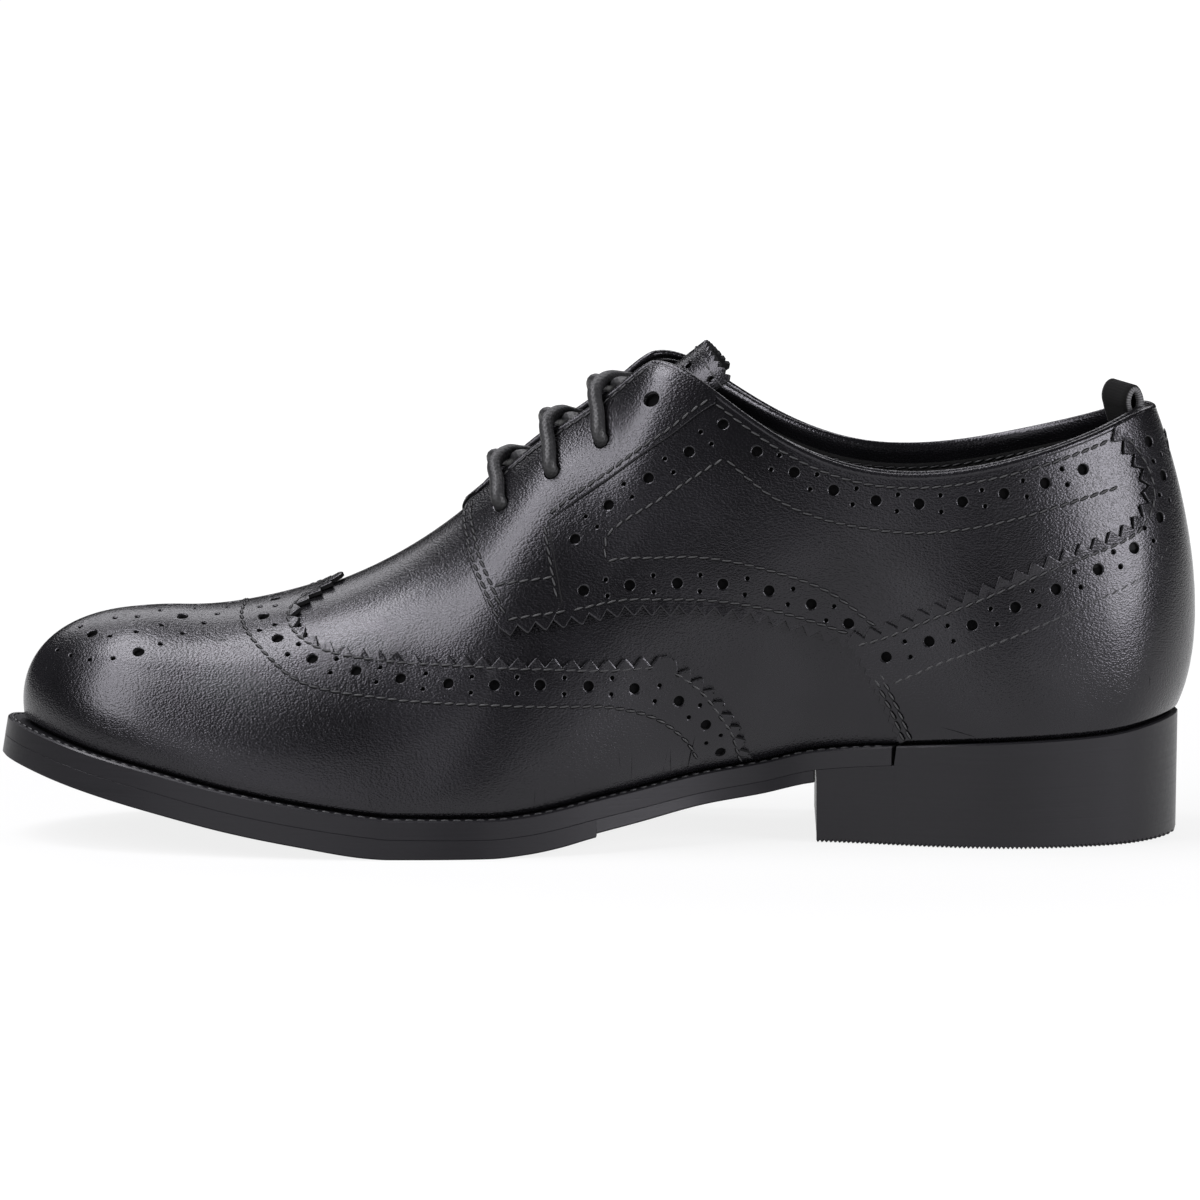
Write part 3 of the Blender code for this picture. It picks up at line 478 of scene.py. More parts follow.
def settle(measure, targets, a, h):
    """Move rows and heights until measure(a, h) lies on the targets, or as near as it can."""
    small, row_step, height_step = 1e-4, 0.3, 0.1
    for _ in range(SETTLE_ROUNDS):
        off = targets - measure(a, h)
        by_row = (measure(a + small, h) - measure(a - small, h)) / (2.0 * small)
        by_height = (measure(a, h + small) - measure(a, h - small)) / (2.0 * small)
        rr, hh, rh = (by_row**2).sum(-1), (by_height**2).sum(-1), (by_row * by_height).sum(-1)
        to_row, to_height = (by_row * off).sum(-1), (by_height * off).sum(-1)
        spread = rr * hh - rh**2 + 1e-9
        a = a + np.clip((hh * to_row - rh * to_height) / spread, -row_step, row_step)
        h = h + np.clip((rr * to_height - rh * to_row) / spread, -height_step, height_step)
        h = np.clip(h, 0.0, 1.0)
    return a, h


def search_tree(points):
    """Return a tree that finds the nearest of points, which lie in a plane or in space."""
    tree = KDTree(len(points))
    for i, point in enumerate(points):
        tree.insert((*point, 0.0)[:3], i)
    tree.balance()
    return tree


def locate(measure, targets, rows, heights):
    """Find the row and height of each target, starting from the nearest of a grid of samples."""
    targets = np.asarray(targets, float)
    a, h = (part.ravel() for part in np.meshgrid(rows, heights, indexing="ij"))
    tree = search_tree(measure(a, h))
    start = [tree.find((*target, 0.0)[:3])[1] for target in targets]
    return settle(measure, targets, a[start], h[start])


def seen_from_side(a, h):
    return outside(a, h)[..., (0, 2)]


def seen_from_above(a, h):
    return outside(a, h)[..., :2]


def seen_by_camera(a, h):
    """Place as the camera sees it on the medial side, or as its mirror would on the lateral side."""
    point = outside(a, h)
    rise = point[..., 2] * math.cos(VIEW_ELEVATION) - np.abs(point[..., 1]) * math.sin(VIEW_ELEVATION)
    return np.stack([point[..., 0], rise], axis=-1)


SIDE_ROWS = {"medial": np.linspace(0.0, TIP, 137), "lateral": np.linspace(TIP, LOOP, 137)}
MIRROR = {"medial": 1.0, "lateral": -1.0}
SEARCH_HEIGHTS = 81
WAYS_TO_SEE = (
    (Spot, seen_from_side, (0.0, 1.0)),
    (Crest, seen_from_above, (0.45, 1.0)),
    (Sight, seen_by_camera, (0.0, 1.0)),
)


def places_of(marks, side):
    """Rows and heights of marks on one side of the shoe."""
    found = np.zeros((len(marks), 2))
    for kind, measure, heights in WAYS_TO_SEE:
        chosen = [i for i, mark in enumerate(marks) if isinstance(mark, kind)]
        if not chosen:
            continue
        targets = np.array([marks[i] for i in chosen])
        if kind is Crest:
            targets[:, 1] *= -MIRROR[side]
        a, h = locate(measure, targets, SIDE_ROWS[side], np.linspace(*heights, SEARCH_HEIGHTS))
        found[chosen] = np.stack([a, h], axis=-1)
    return found


def own_row(row, side):
    """A row of the medial side, or its partner on the lateral side."""
    return row if side == "medial" else LOOP - row


SAMPLES_PER_MARK = 40


class Seam:
    """A smooth line on the outside of the shoe, measured in millimetres along it.

    Across is positive to the left of the line on the medial side and is mirrored on the lateral side.
    """

    def __init__(self, places, mirror):
        samples = SAMPLES_PER_MARK * (len(places) - 1) + 1
        self.places = spline(places, False)(np.linspace(0.0, len(places) - 1.0, samples))
        self.knots = np.arange(0, samples, SAMPLES_PER_MARK)
        steps = np.linalg.norm(np.diff(outside(*self.places.T), axis=0), axis=-1)
        self.lengths = np.concatenate([[0.0], np.cumsum(steps)])
        self.total = self.lengths[-1]
        self.mirror = mirror

    def at(self, s):
        return tuple(np.interp(s, self.lengths, column) for column in self.places.T)

    def heading(self, s):
        """Direction along the seam and across it, with the surface normal."""
        small = 0.2
        before, after = np.clip(s - small, 0.0, self.total), np.clip(s + small, 0.0, self.total)
        along = outside(*self.at(after)) - outside(*self.at(before))
        along /= np.linalg.norm(along, axis=-1, keepdims=True)
        normal = outside_normal(*self.at(s))
        across = self.mirror * np.cross(normal, along)
        return along, across / np.linalg.norm(across, axis=-1, keepdims=True), normal

    def beside(self, s, aside):
        """Row and height of places at a distance to one side of the seam."""
        s, aside = np.broadcast_arrays(np.asarray(s, float), np.asarray(aside, float))
        across = self.heading(s)[1]
        return settle(outside, outside(*self.at(s)) + aside[..., None] * across, *self.at(s))

    def offset(self, aside, spacing=2.0):
        """A seam that runs beside this one."""
        s = np.linspace(0.0, self.total, max(4, round(self.total / spacing)))
        return Seam(np.stack(self.beside(s, aside), axis=-1), self.mirror)

    def steps(self, pitch, start=0.0, end=0.0):
        """Evenly spaced distances along the seam, near to a pitch."""
        length = self.total - start - end
        count = max(1, round(length / pitch))
        return start + (np.arange(count) + 0.5) * length / count

    def plain(self, spacing=1.2):
        s = np.linspace(0.0, self.total, max(2, round(self.total / spacing)))
        return np.stack(self.at(s), axis=-1)

    def pinked(self, pitch, depth, way, seat, calm=0.5):
        """The seam cut to pointed teeth on one side of it (way is 1 or -1).

        The seat is the part of the tooth that lies inside the seam; calm is how many teeth it takes at the
        start until they have their full depth.
        """
        teeth = round(self.total / pitch)
        width = self.total / teeth
        flank = np.array((0.0, 0.40, 0.5, 0.60))
        rise = np.array((0.0, 0.88, 1.0, 0.88)) - seat
        s = (np.arange(teeth)[:, None] + flank).ravel() * width
        out = np.tile(rise, teeth) * depth * way
        s, out = np.append(s, self.total), np.append(out, out[0])
        fade = smooth_step(0.0, calm * width, s) * smooth_step(0.0, width / 2.0, self.total - s)
        return np.stack(self.beside(s, out * fade), axis=-1)


def seam_of(marks, side):
    return Seam(places_of(marks, side), MIRROR[side])


# How much of each pinked tooth lies inside the marks of its edge
WING_SEAT, QUARTER_SEAT, COUNTER_SEAT, COUNTER_FRONT_SEAT = 1.0, 0.0, 0.0, 0.5


def distance_from(places):
    """Return a function of the distance in millimetres from a line of places."""
    tree = search_tree(outside(*places.T))
    return lambda a, h: np.array([tree.find(point)[2] for point in outside(a, h)])


CURL_REACH = 2.6


def curled(lines, sizes):
    """Return how far the teeth of a pinked edge stand up towards lines of their tips, and how they tilt."""
    tree = search_tree(np.concatenate([outside(*line.T) for line in lines]))
    nearest = 0.05

    def stand(a, h):
        place = outside(a, h)
        away = place - np.array([tree.find(point)[0] for point in place])
        distance = np.maximum(np.linalg.norm(away, axis=-1), nearest)
        share = np.clip(1.0 - distance / CURL_REACH, 0.0, 1.0)
        slope = np.where(share > 0.0, sizes.tooth_curl / CURL_REACH, 0.0)
        return sizes.tooth_curl * share, (slope / distance)[:, None] * away

    return stand


NEAR_RIDGE = 0.9


def hole(place, radius, count):
    """Closed ring of places round a perforation, which may lie across the ridge of the toe."""
    a, h = place
    centre, normal = outside(a, h), outside_normal(a, h)
    right = np.cross(normal, (0.0, 1.0, 0.0))
    right /= np.linalg.norm(right)
    ahead = np.cross(normal, right)
    turn = np.linspace(0.0, 2.0 * math.pi, count, endpoint=False)[:, None]
    ring = centre + radius * (np.cos(turn) * right + np.sin(turn) * ahead)
    start = np.full(count, a)
    if h > NEAR_RIDGE and rows_from_back(a) > THROAT_END_ROW:
        other_side = (ring[:, 1] > 0.0) != (a > TIP)
        start = np.where(other_side, LOOP - a, a)
    return np.stack(settle(outside, ring, start, np.full(count, h)), axis=-1)


LARGE_HOLE_POINTS, SMALL_HOLE_POINTS = 16, 10
LONGEST_EDGE = 2.6


def punched_at(marks, side, breadth, points):
    return [hole(place, breadth / 2.0, points) for place in places_of(marks, side)]


def hole_row(marks, side, sizes):
    """Large perforations at the marks, and a pair of small ones between each two of them."""
    row = seam_of(marks, side)
    loops = punched_at(marks, side, sizes.large_hole, LARGE_HOLE_POINTS)
    knots = row.lengths[row.knots]
    for s in (knots[1:] + knots[:-1]) / 2.0:
        for aside in (-sizes.pair_offset, sizes.pair_offset):
            loops.append(hole(row.beside(s, aside), sizes.small_hole / 2.0, SMALL_HOLE_POINTS))
    return loops


# Flat patterns: a plane in which a panel is cut before it is laid on the shoe
ROW_SCALE, HEIGHT_SCALE = 15.0, 80.0
WING_SKIRT = 26.0
TOE_ROWS = np.linspace(5.0, LOOP - 5.0, 241)


class SidePattern:
    """Rows run along the plane and heights up it, either side of a middle row."""

    def __init__(self, middle):
        self.middle = middle

    def unwrapped(self, a):
        return self.middle + np.mod(a - self.middle + TIP, LOOP) - TIP

    def flat(self, a, h):
        return np.stack([(self.middle - self.unwrapped(a)) * ROW_SCALE, h * HEIGHT_SCALE], axis=-1)

    def place(self, flat):
        return self.middle - flat[:, 0] / ROW_SCALE, np.clip(flat[:, 1] / HEIGHT_SCALE, 0.0, 1.0)


class ToePattern:
    """The toe seen from above with its walls spread outwards, so both sides lie in one plane."""

    def flat(self, a, h):
        h = np.asarray(h)[..., None]
        spread = foot_line(a) + WING_SKIRT * outward(a)
        return h * outside(a, 1.0)[..., :2] + (1.0 - h) * spread

    def place(self, flat):
        heights = np.linspace(0.0, 1.0, SEARCH_HEIGHTS)
        return locate(self.flat, flat, TOE_ROWS, heights)


FACE, CUT, FLOOR, BACK = 0, 1, 2, 3
FACE_LEVEL, RIM_LEVEL, FLOOR_LEVEL = 2.0, 1.0, 0.25
FLOOR_DEPTH = 0.9
BACK_COARSENESS = 3.0
REFINE_ROUNDS = 7


def refine(bm, band, longest):
    """Split the long edges inside one band of faces and keep its triangles well shaped."""
    for edge in bm.edges:
        edge.seam = any(face.material_index != band for face in edge.link_faces)
    for _ in range(REFINE_ROUNDS):
        split = [edge for edge in bm.edges if not edge.seam and edge.calc_length() > longest]
        if not split:
            return
        bmesh.ops.subdivide_edges(bm, edges=split, cuts=1)
        faces = [face for face in bm.faces if face.material_index == band and len(face.verts) > 3]
        bmesh.ops.triangulate(bm, faces=faces)
        faces = [face for face in bm.faces if face.material_index == band]
        inner = [edge for edge in bm.edges if not edge.seam]
        bmesh.ops.beautify_fill(bm, faces=faces, edges=inner, method="ANGLE")


def fill(bm, edges, band, normal):
    """Fill closed loops of edges with the triangles of one band."""
    filled = bmesh.ops.triangle_fill(bm, edges=edges, normal=normal, use_beauty=True, use_dissolve=False)
    faces = [item for item in filled["geom"] if isinstance(item, bmesh.types.BMFace)]
    for face in faces:
        face.material_index = band
    return faces


OUTLINE_RIM = 2.6
PANEL_CREASE, SOLE_CREASE = math.radians(35.0), math.radians(30.0)


def cut_panel(loops, punched, longest, rim):
    """Cut a closed flat panel to loops, the first of which is its outline, with a rim round its face.

    The punched loops are holes with the dark underlay of the panel as their floor. The rim is wider along
    the outline.
    """
    bm = bmesh.new()
    below, floors, outline_verts = [], [], []
    for loop in loops:
        verts = [bm.verts.new((x, y, 0.0)) for x, y in loop]
        outline_verts = outline_verts or verts
        below += [bm.edges.new(pair) for pair in zip(verts, verts[1:] + verts[:1])]
    for loop in punched:
        verts = [bm.verts.new((x, y, FLOOR_LEVEL)) for x, y in loop]
        floors.append(bm.faces.new(verts))
    every_edge = list(bm.edges)
    grown = bmesh.ops.extrude_edge_only(bm, edges=every_edge)["geom"]
    rim_verts = {item for item in grown if isinstance(item, bmesh.types.BMVert)}
    for vert in rim_verts:
        vert.co.z = RIM_LEVEL
    above = [edge for edge in bm.edges if edge.verts[0] in rim_verts and edge.verts[1] in rim_verts]
    for wall in bm.faces:
        wall.material_index = CUT
    for floor in floors:
        floor.material_index = FLOOR
    face = fill(bm, above, FACE, (0.0, 0.0, 1.0))
    fill(bm, below, BACK, (0.0, 0.0, -1.0))
    narrow = bmesh.ops.inset_region(bm, faces=face, thickness=rim, use_even_offset=True, use_boundary=True)
    for ring_face in narrow["faces"]:
        ring_face.material_index = CUT
    on_face = {vert for item in face for vert in item.verts}
    for vert in on_face:
        vert.co.z = FACE_LEVEL
    outline = {tuple(bm_vert.co.xy) for bm_vert in outline_verts}
    for edge in bm.edges:
        outer, inner = sorted(edge.verts, key=lambda vert: vert.co.z)
        if inner in on_face and outer in rim_verts and tuple(outer.co.xy) in outline:
            inner.co.xy = outer.co.xy + OUTLINE_RIM * (inner.co.xy - outer.co.xy)
    refine(bm, FACE, longest)
    refine(bm, BACK, BACK_COARSENESS * longest)
    bmesh.ops.recalc_face_normals(bm, faces=bm.faces)
    return bm


def add_piece(name, bm, materials, replaced=()):
    """Turn a bmesh in millimetres into a piece of the shoe."""
    bmesh.ops.scale(bm, vec=(MM, MM, MM), verts=bm.verts)
    mesh = bpy.data.meshes.new(name)
    bm.to_mesh(mesh)
    bm.free()
    piece = bpy.data.objects.new(name, mesh)
    bpy.context.scene.collection.objects.link(piece)
    for material in materials:
        mesh.materials.append(material)
    mesh.shade_smooth()
    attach(piece, "root")
    if replaced:
        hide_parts(*replaced)
    return piece


def lay_panel(
    name, pattern, loops, punched, lift, thickness, sizes, replaced=(), curl=None,
    surface=lifted, facing=outside_normal,
):
    """Cut a leather panel in its pattern and lay it on the shoe at a height above the finished outside."""
    flat_loops, flat_holes = ([pattern.flat(*loop.T) for loop in group] for group in (loops, punched))
    bm = cut_panel(flat_loops, flat_holes, LONGEST_EDGE, sizes.cut_rim)
    flat = np.array([vert.co for vert in bm.verts])
    a, h = pattern.place(flat[:, :2])
    top = lift(a, h)
    depth = thickness(a, h)
    normals = facing(a, h)
    if curl:
        stand, tilt = curl(a, h)
        top = top + stand
        normals = normals + tilt
        normals /= np.linalg.norm(normals, axis=-1, keepdims=True)
    height = flat[:, 2]
    on_top = height > (FACE_LEVEL + RIM_LEVEL) / 2.0
    on_rim = height > (RIM_LEVEL + FLOOR_LEVEL) / 2.0
    on_floor = height > FLOOR_LEVEL / 2.0
    steps = [np.zeros_like(depth), np.full_like(depth, sizes.cut_drop), FLOOR_DEPTH * depth]
    fallen = np.select([on_top, on_rim, on_floor], steps, depth)
    for vert, point in zip(bm.verts, surface(a, h, top - fallen)):
        vert.co = point
    bm.verts.index_update()
    for face in bm.faces:
        if face.material_index == BACK:
            face.material_index = CUT
        elif face.material_index == CUT and any(on_top[vert.index] for vert in face.verts):
            face.material_index = FACE
    finishes = (finish("black_leather"), finish("cut_edge"), finish("hole_floor"))
    piece = add_piece(name, bm, finishes, replaced)
    mesh = piece.data
    mesh.set_sharp_from_angle(angle=PANEL_CREASE)
    loops_vertex = np.zeros(len(mesh.loops), int)
    mesh.loops.foreach_get("vertex_index", loops_vertex)
    on_face = np.zeros(len(mesh.loops), bool)
    for polygon in mesh.polygons:
        if polygon.material_index == FACE:
            on_face[polygon.loop_start : polygon.loop_start + polygon.loop_total] = True
    on_face &= on_top[loops_vertex]
    mesh.normals_split_custom_set(np.where(on_face[:, None], normals[loops_vertex], 0.0))
    return piece


class Wire:
    """A node's output that takes part in arithmetic by adding Math nodes."""

    def __init__(self, shading, socket):
        self.shading = shading
        self.socket = socket

    def __add__(self, other):
        return self.shading.math("ADD", self, other)

    def __sub__(self, other):
        return self.shading.math("SUBTRACT", self, other)

    def __rsub__(self, other):
        return self.shading.math("SUBTRACT", other, self)

    def __mul__(self, other):
        return self.shading.math("MULTIPLY", self, other)

    __radd__ = __add__
    __rmul__ = __mul__


class Shading:
    """The nodes of one material."""

    def __init__(self, name):
        self.material = bpy.data.materials.new(name)
        self.material.use_nodes = True
        self.tree = self.material.node_tree
        self.shader = self.tree.nodes["Principled BSDF"]

    def node(self, kind, settings=None, inputs=None, output=0):
        """Add a node with its settings, then the values or links of its sockets."""
        added = self.tree.nodes.new(kind)
        for name, value in (settings or {}).items():
            setattr(added, name, value)
        for name, value in (inputs or {}).items():
            self.feed(added.inputs[name], value)
        return Wire(self, added.outputs[output])

    def feed(self, socket, value):
        if isinstance(value, Wire):
            self.tree.links.new(value.socket, socket)
        else:
            socket.default_value = value

    def math(self, operation, *values):
        return self.node("ShaderNodeMath", {"operation": operation}, dict(enumerate(values)))

    def position(self, kind="Object"):
        return self.node("ShaderNodeTexCoord", output=kind)

    def part(self, vector, axis):
        return self.node("ShaderNodeSeparateXYZ", {}, {0: vector}, output=axis)

    def mix(self, amount, low, high):
        """Blend two colours, each a wire or three numbers."""
        low, high = (end if isinstance(end, Wire) else (*end, 1.0) for end in (low, high))
        return self.node("ShaderNodeMix", {"data_type": "RGBA"}, {0: amount, 6: low, 7: high}, output=2)

    def stretched(self, where, scale):
        return self.node("ShaderNodeVectorMath", {"operation": "MULTIPLY"}, {0: where, 1: scale})

    def noise(self, where, scale, detail=2.0):
        return self.node("ShaderNodeTexNoise", {}, {"Vector": where, "Scale": scale, "Detail": detail})

    def pebbles(self, where, scale, smoothness):
        cells = {"Vector": where, "Scale": scale, "Smoothness": smoothness}
        return self.node("ShaderNodeTexVoronoi", {"feature": "SMOOTH_F1"}, cells)

    def between(self, value, low, high, to_low=0.0, to_high=1.0):
        inputs = {"Value": value, 1: low, 2: high, 3: to_low, 4: to_high}
        return self.node("ShaderNodeMapRange", {"interpolation_type": "SMOOTHSTEP"}, inputs)

    def bump(self, height, distance, strength=1.0):
        """Raise the surface by up to a distance in metres."""
        inputs = {"Height": height, "Distance": distance, "Strength": strength}
        self.feed(self.shader.inputs["Normal"], self.node("ShaderNodeBump", {}, inputs))

    def set(self, **values):
        for name, value in values.items():
            self.feed(self.shader.inputs[name.replace("_", " ").title().replace("Ior", "IOR")], value)


POLISH_TINT = (0.94, 0.92, 1.0, 1.0)


def tone(colour, factor):
    """A colour made darker or lighter."""
    return tuple(factor * part for part in colour)


def leather(shading, colours):
    """Smooth box leather with a fine pebbled grain and a soft polish."""
    where = shading.position()
    broad = shading.noise(where, 45.0)
    where_level = shading.stretched(where, (0.8, 0.8, 1.2))
    wander = shading.noise(where_level, 1500.0)
    pebbles = shading.pebbles(where_level, 2200.0, 0.5)
    crumbs = shading.pebbles(where_level, 4000.0, 0.4)
    grain = 1.0 - (pebbles * 0.7 + crumbs * 0.3) + wander * 0.25
    worn = shading.between(broad, 0.35, 0.75)
    shading.set(
        base_color=shading.mix(worn, colours.leather, tone(colours.leather, 2.0)),
        roughness=shading.between(grain, 0.5, 1.0, 0.25, 0.17) + broad * 0.05,
        coat_weight=0.12,
        coat_roughness=0.16,
        specular_ior_level=0.34,
        specular_tint=POLISH_TINT,
    )
    shading.bump(grain, 0.00011, 0.85)


def cut_leather(shading, colours):
    """Raw inked edge where leather was cut or punched."""
    where = shading.position()
    fibres = shading.noise(where, 2600.0, 4.0)
    shading.set(
        base_color=shading.mix(fibres, tone(colours.raw_edge, 0.5), colours.raw_edge),
        roughness=fibres * 0.2 + 0.7,
        specular_ior_level=0.2,
    )
    shading.bump(fibres, 0.00015, 0.8)


def underlay(shading, colours):
    """Dull black underlay seen through the perforations."""
    where = shading.position()
    fibres = shading.noise(where, 2400.0, 3.0)
    shading.set(
        base_color=shading.mix(fibres, tone(colours.leather, 0.25), tone(colours.leather, 0.6)),
        roughness=0.9,
        specular_ior_level=0.1,
    )
    shading.bump(fibres, 0.0001, 0.5)


def lining(shading, colours):
    """Matte textile-backed lining with a fine even tooth."""
    where = shading.position()
    tooth = shading.noise(where, 1800.0, 4.0)
    broad = shading.noise(where, 30.0)
    uneven = broad * 0.6 + tooth * 0.4
    shading.set(base_color=shading.mix(uneven, tone(colours.lining, 0.7), colours.lining), roughness=0.78)
    shading.bump(tooth, 0.0001, 0.5)


def rubber(shading, colours):
    """Moulded sole unit with faint level trimming lines; its edge is dressed, its underside is dull."""
    where = shading.position()
    normal = shading.node("ShaderNodeNewGeometry", output="Normal")
    facing_up = shading.part(normal, "Z")
    lines = shading.noise(shading.stretched(where, (0.02, 0.02, 1.0)), 2600.0, 3.0)
    dust = shading.noise(where, 900.0, 4.0)
    broad = shading.noise(where, 40.0)
    streaks = lines * 0.7 + broad * 0.3
    shading.set(
        base_color=shading.mix(streaks, tone(colours.rubber, 0.75), tone(colours.rubber, 1.5)),
        roughness=dust * 0.16 + lines * 0.16 + shading.between(facing_up, -0.3, -0.08, 0.64, 0.34),
        coat_weight=shading.between(facing_up, -0.25, -0.08, 0.0, 0.28),
        coat_roughness=0.24,
        specular_ior_level=0.18,
        specular_tint=POLISH_TINT,
    )
    shading.bump(lines * 0.7 + dust * 0.3, 0.00008, 0.6)


def thread(shading, colours):
    """Twisted waxed thread."""
    where = shading.position()
    twist = shading.noise(where, 3000.0, 2.0)
    shading.set(
        base_color=shading.mix(twist, tone(colours.thread, 0.6), colours.thread),
        roughness=0.45 + twist * 0.15,
    )
    shading.bump(twist, 0.00008, 0.6)


def braid(shading, colours):
    """Round waxed lace: strands cross over each other along the cord, and painted shade darkens the grooves
    between them.
    """
    where = shading.position("UV")
    along = shading.part(where, "X")
    round_it = shading.part(where, "Y")
    turn = 2.0 * math.pi
    one_way = shading.math("SINE", (along * 0.8 + round_it * 6.0) * turn)
    other_way = shading.math("SINE", (along * 0.8 - round_it * 6.0) * turn)
    strands_and_groove_shade = shading.math("MAXIMUM", one_way, other_way) * 0.5 + 0.5
    fuzz = shading.noise(shading.position(), 2600.0, 3.0)
    shading.set(
        # Painted shade: the cord's colour is darker in the grooves between the strands
        base_color=shading.mix(strands_and_groove_shade * 0.75 + fuzz * 0.25, tone(colours.lace, 0.35), colours.lace),
        roughness=0.62 - strands_and_groove_shade * 0.14,
    )
    shading.bump(strands_and_groove_shade + fuzz * 0.5, 0.0001, 0.6)


def tape(shading, colours):
    """Woven tape: a dark ribbed middle between paler bound edges."""
    where = shading.position("UV")
    along = shading.part(where, "X")
    over = shading.part(where, "Y")
    turn = 2.0 * math.pi
    ribs = shading.math("SINE", along * 1.6 * turn) * 0.5 + 0.5
    from_middle = shading.math("ABSOLUTE", shading.math("FRACT", over * 2.0) - 0.5)
    edge = shading.between(from_middle, 0.40, 0.45)
    fuzz = shading.noise(shading.position(), 2200.0, 3.0)
    pale = shading.mix(ribs * 0.6 + fuzz * 0.4, colours.lining, colours.tape_edge)
    face = shading.mix(fuzz, tone(colours.lining, 0.2), tone(colours.lining, 0.4))
    shading.set(base_color=shading.mix(edge, face, pale), roughness=0.9, specular_ior_level=0.15)
    shading.bump(ribs * 0.4 + fuzz * 0.6, 0.0001, 0.7)


def paper_floor(shading, colours):
    """Seamless paper sweep, nearly white, that glows by itself: painted light, dimmer near the shoe."""
    where = shading.position()
    cloudy = shading.noise(where, 3.0)
    shading.set(
        base_color=shading.mix(cloudy, tone(colours.floor, 0.97), colours.floor),
        roughness=0.9,
        specular_ior_level=0.1,
    )
    away = shading.node("ShaderNodeVectorMath", {"operation": "LENGTH"}, {0: where}, output="Value")
    # Painted light: the floor's own glow, lower near the shoe so that shadows there still show, fully white
    # further out
    painted_glow = shading.mix(shading.between(away, 0.15, 0.7), (0.84, 0.84, 0.84), (1.0, 1.0, 1.0))
    shading.set(emission_color=painted_glow, emission_strength=1.0)


FINISHES = {
    "black_leather": leather,
    "cut_edge": cut_leather,
    "hole_floor": underlay,
    "black_lining": lining,
    "black_rubber": rubber,
    "waxed_thread": thread,
    "waxed_lace": braid,
    "loop_tape": tape,
    "floor_paper": paper_floor,
}


def finish(name):
    """A material by name, made the first time it is asked for."""
    made = bpy.data.materials.get(f"brogue_{name}")
    if made:
        return made
    shading = Shading(f"brogue_{name}")
    FINISHES[name](shading, bpy.context.scene.brogue_colours)
    return shading.material


MERGE_DISTANCE, FLAT_DISTANCE = 0.004, 0.002


def skin(points, band_of=None, skip=None, measure=None):
    """Mesh a grid of points, rows by columns, and merge the places where it closes on itself.

    band_of gives a face's material and skip leaves a face out, each from its row and column; measure is the
    size of the grid's own flat map, in millimetres.
    """
    rows, columns = points.shape[:2]
    bm = bmesh.new()
    flat_map = bm.loops.layers.uv.verify() if measure else None
    bmesh.ops.create_grid(bm, x_segments=rows - 1, y_segments=columns - 1, size=1.0)
    unwanted = []
    for face in bm.faces:
        middle = face.calc_center_median()
        i = int((middle.x + 1.0) / 2.0 * (rows - 1))
        j = int((middle.y + 1.0) / 2.0 * (columns - 1))
        if band_of:
            face.material_index = band_of(i, j)
        if skip and skip(i, j):
            unwanted.append(face)
        if measure:
            for corner in face.loops:
                co = corner.vert.co
                corner[flat_map].uv = ((co.x + 1.0) / 2.0 * measure[0], (co.y + 1.0) / 2.0 * measure[1])
    for vert in bm.verts:
        i = round((vert.co.x + 1.0) / 2.0 * (rows - 1))
        j = round((vert.co.y + 1.0) / 2.0 * (columns - 1))
        vert.co = Vector(points[i, j])
    if unwanted:
        bmesh.ops.delete(bm, geom=unwanted, context="FACES")
    bmesh.ops.remove_doubles(bm, verts=bm.verts, dist=MERGE_DISTANCE)
    bmesh.ops.dissolve_degenerate(bm, dist=FLAT_DISTANCE, edges=bm.edges)
    return bm


def capped(bm):
    """Close the open ends of a tube and point its faces outwards."""
    open_edges = [edge for edge in bm.edges if edge.is_boundary]
    bmesh.ops.holes_fill(bm, edges=open_edges, sides=0)
    bmesh.ops.recalc_face_normals(bm, faces=bm.faces)
    return bm


def ring_rows(first, last, step):
    """Evenly spaced rows from one to another, upwards or downwards."""
    low, high = min(first, last), max(first, last)
    rows = np.linspace(low, high, max(2, round((high - low) / step) + 1))
    return rows if last > first else rows[::-1]


# Upper

TUCK_HEIGHT = 0.12
ROLL_FADE = 0.5


def build_upper(sizes):
    """The lasted upper: vamp outside, lining inside, rolled edge round collar and throat."""
    # Rows lie closer together at the end of the throat
    spans = ((0.0, 10.5, 0.125), (10.54, 11.0, 0.046), (11.125, TIP, 0.125))
    half = np.concatenate([ring_rows(*span) for span in spans])
    rows = np.concatenate([half, LOOP - half[-2::-1]])
    ends = edge_height(rows)
    outer_steps, roll_steps, inner_steps, collar_band = 44, 6, 40, 2
    climb = np.linspace(0.0, 1.0, outer_steps + 1)
    fall = np.linspace(1.0, 0.0, inner_steps + 1)
    outer = lifted(rows[:, None], climb * ends[:, None], np.full((len(rows), len(climb)), -VAMP_DEPTH))
    inner = lifted(rows[:, None], fall * ends[:, None], np.full((len(rows), len(fall)), -LINING_DEPTH))
    above_sole = outer[:, :1, 2] - sole_top(outer[:, :1, 0]) - sizes.tuck_gap
    outer[..., 2] -= above_sole * (1.0 - smooth_step(0.0, TUCK_HEIGHT, climb))
    up = outer[:, -1] - outer[:, -3]
    up /= np.linalg.norm(up, axis=-1, keepdims=True)
    bulge = sizes.edge_roll * smooth_step(0.0, ROLL_FADE, THROAT_END_ROW - rows_from_back(rows))
    t = np.linspace(0.0, 1.0, roll_steps + 1)[1:-1]
    roll = outer[:, -1:, :] * (1.0 - t)[:, None] + inner[:, :1, :] * t[:, None]
    roll = roll + (bulge[:, None] * np.sin(math.pi * t))[..., None] * up[:, None, :]
    points = np.concatenate([outer, roll, inner, outer[:, :1]], axis=1)
    in_roll = range(outer_steps, outer_steps + roll_steps)
    closed_rows = rows_from_back((rows[1:] + rows[:-1]) / 2.0) > THROAT_END_ROW

    def band_of(i, j):
        if j < outer_steps:
            return 0
        return 1 if j < outer_steps + roll_steps + collar_band else 2

    bm = skin(points, band_of, lambda i, j: j in in_roll and closed_rows[i])
    bmesh.ops.recalc_face_normals(bm, faces=bm.faces)
    finishes = (finish("black_leather"), finish("black_leather"), finish("black_lining"))
    return add_piece("upper_leather", bm, finishes, ("upper",))


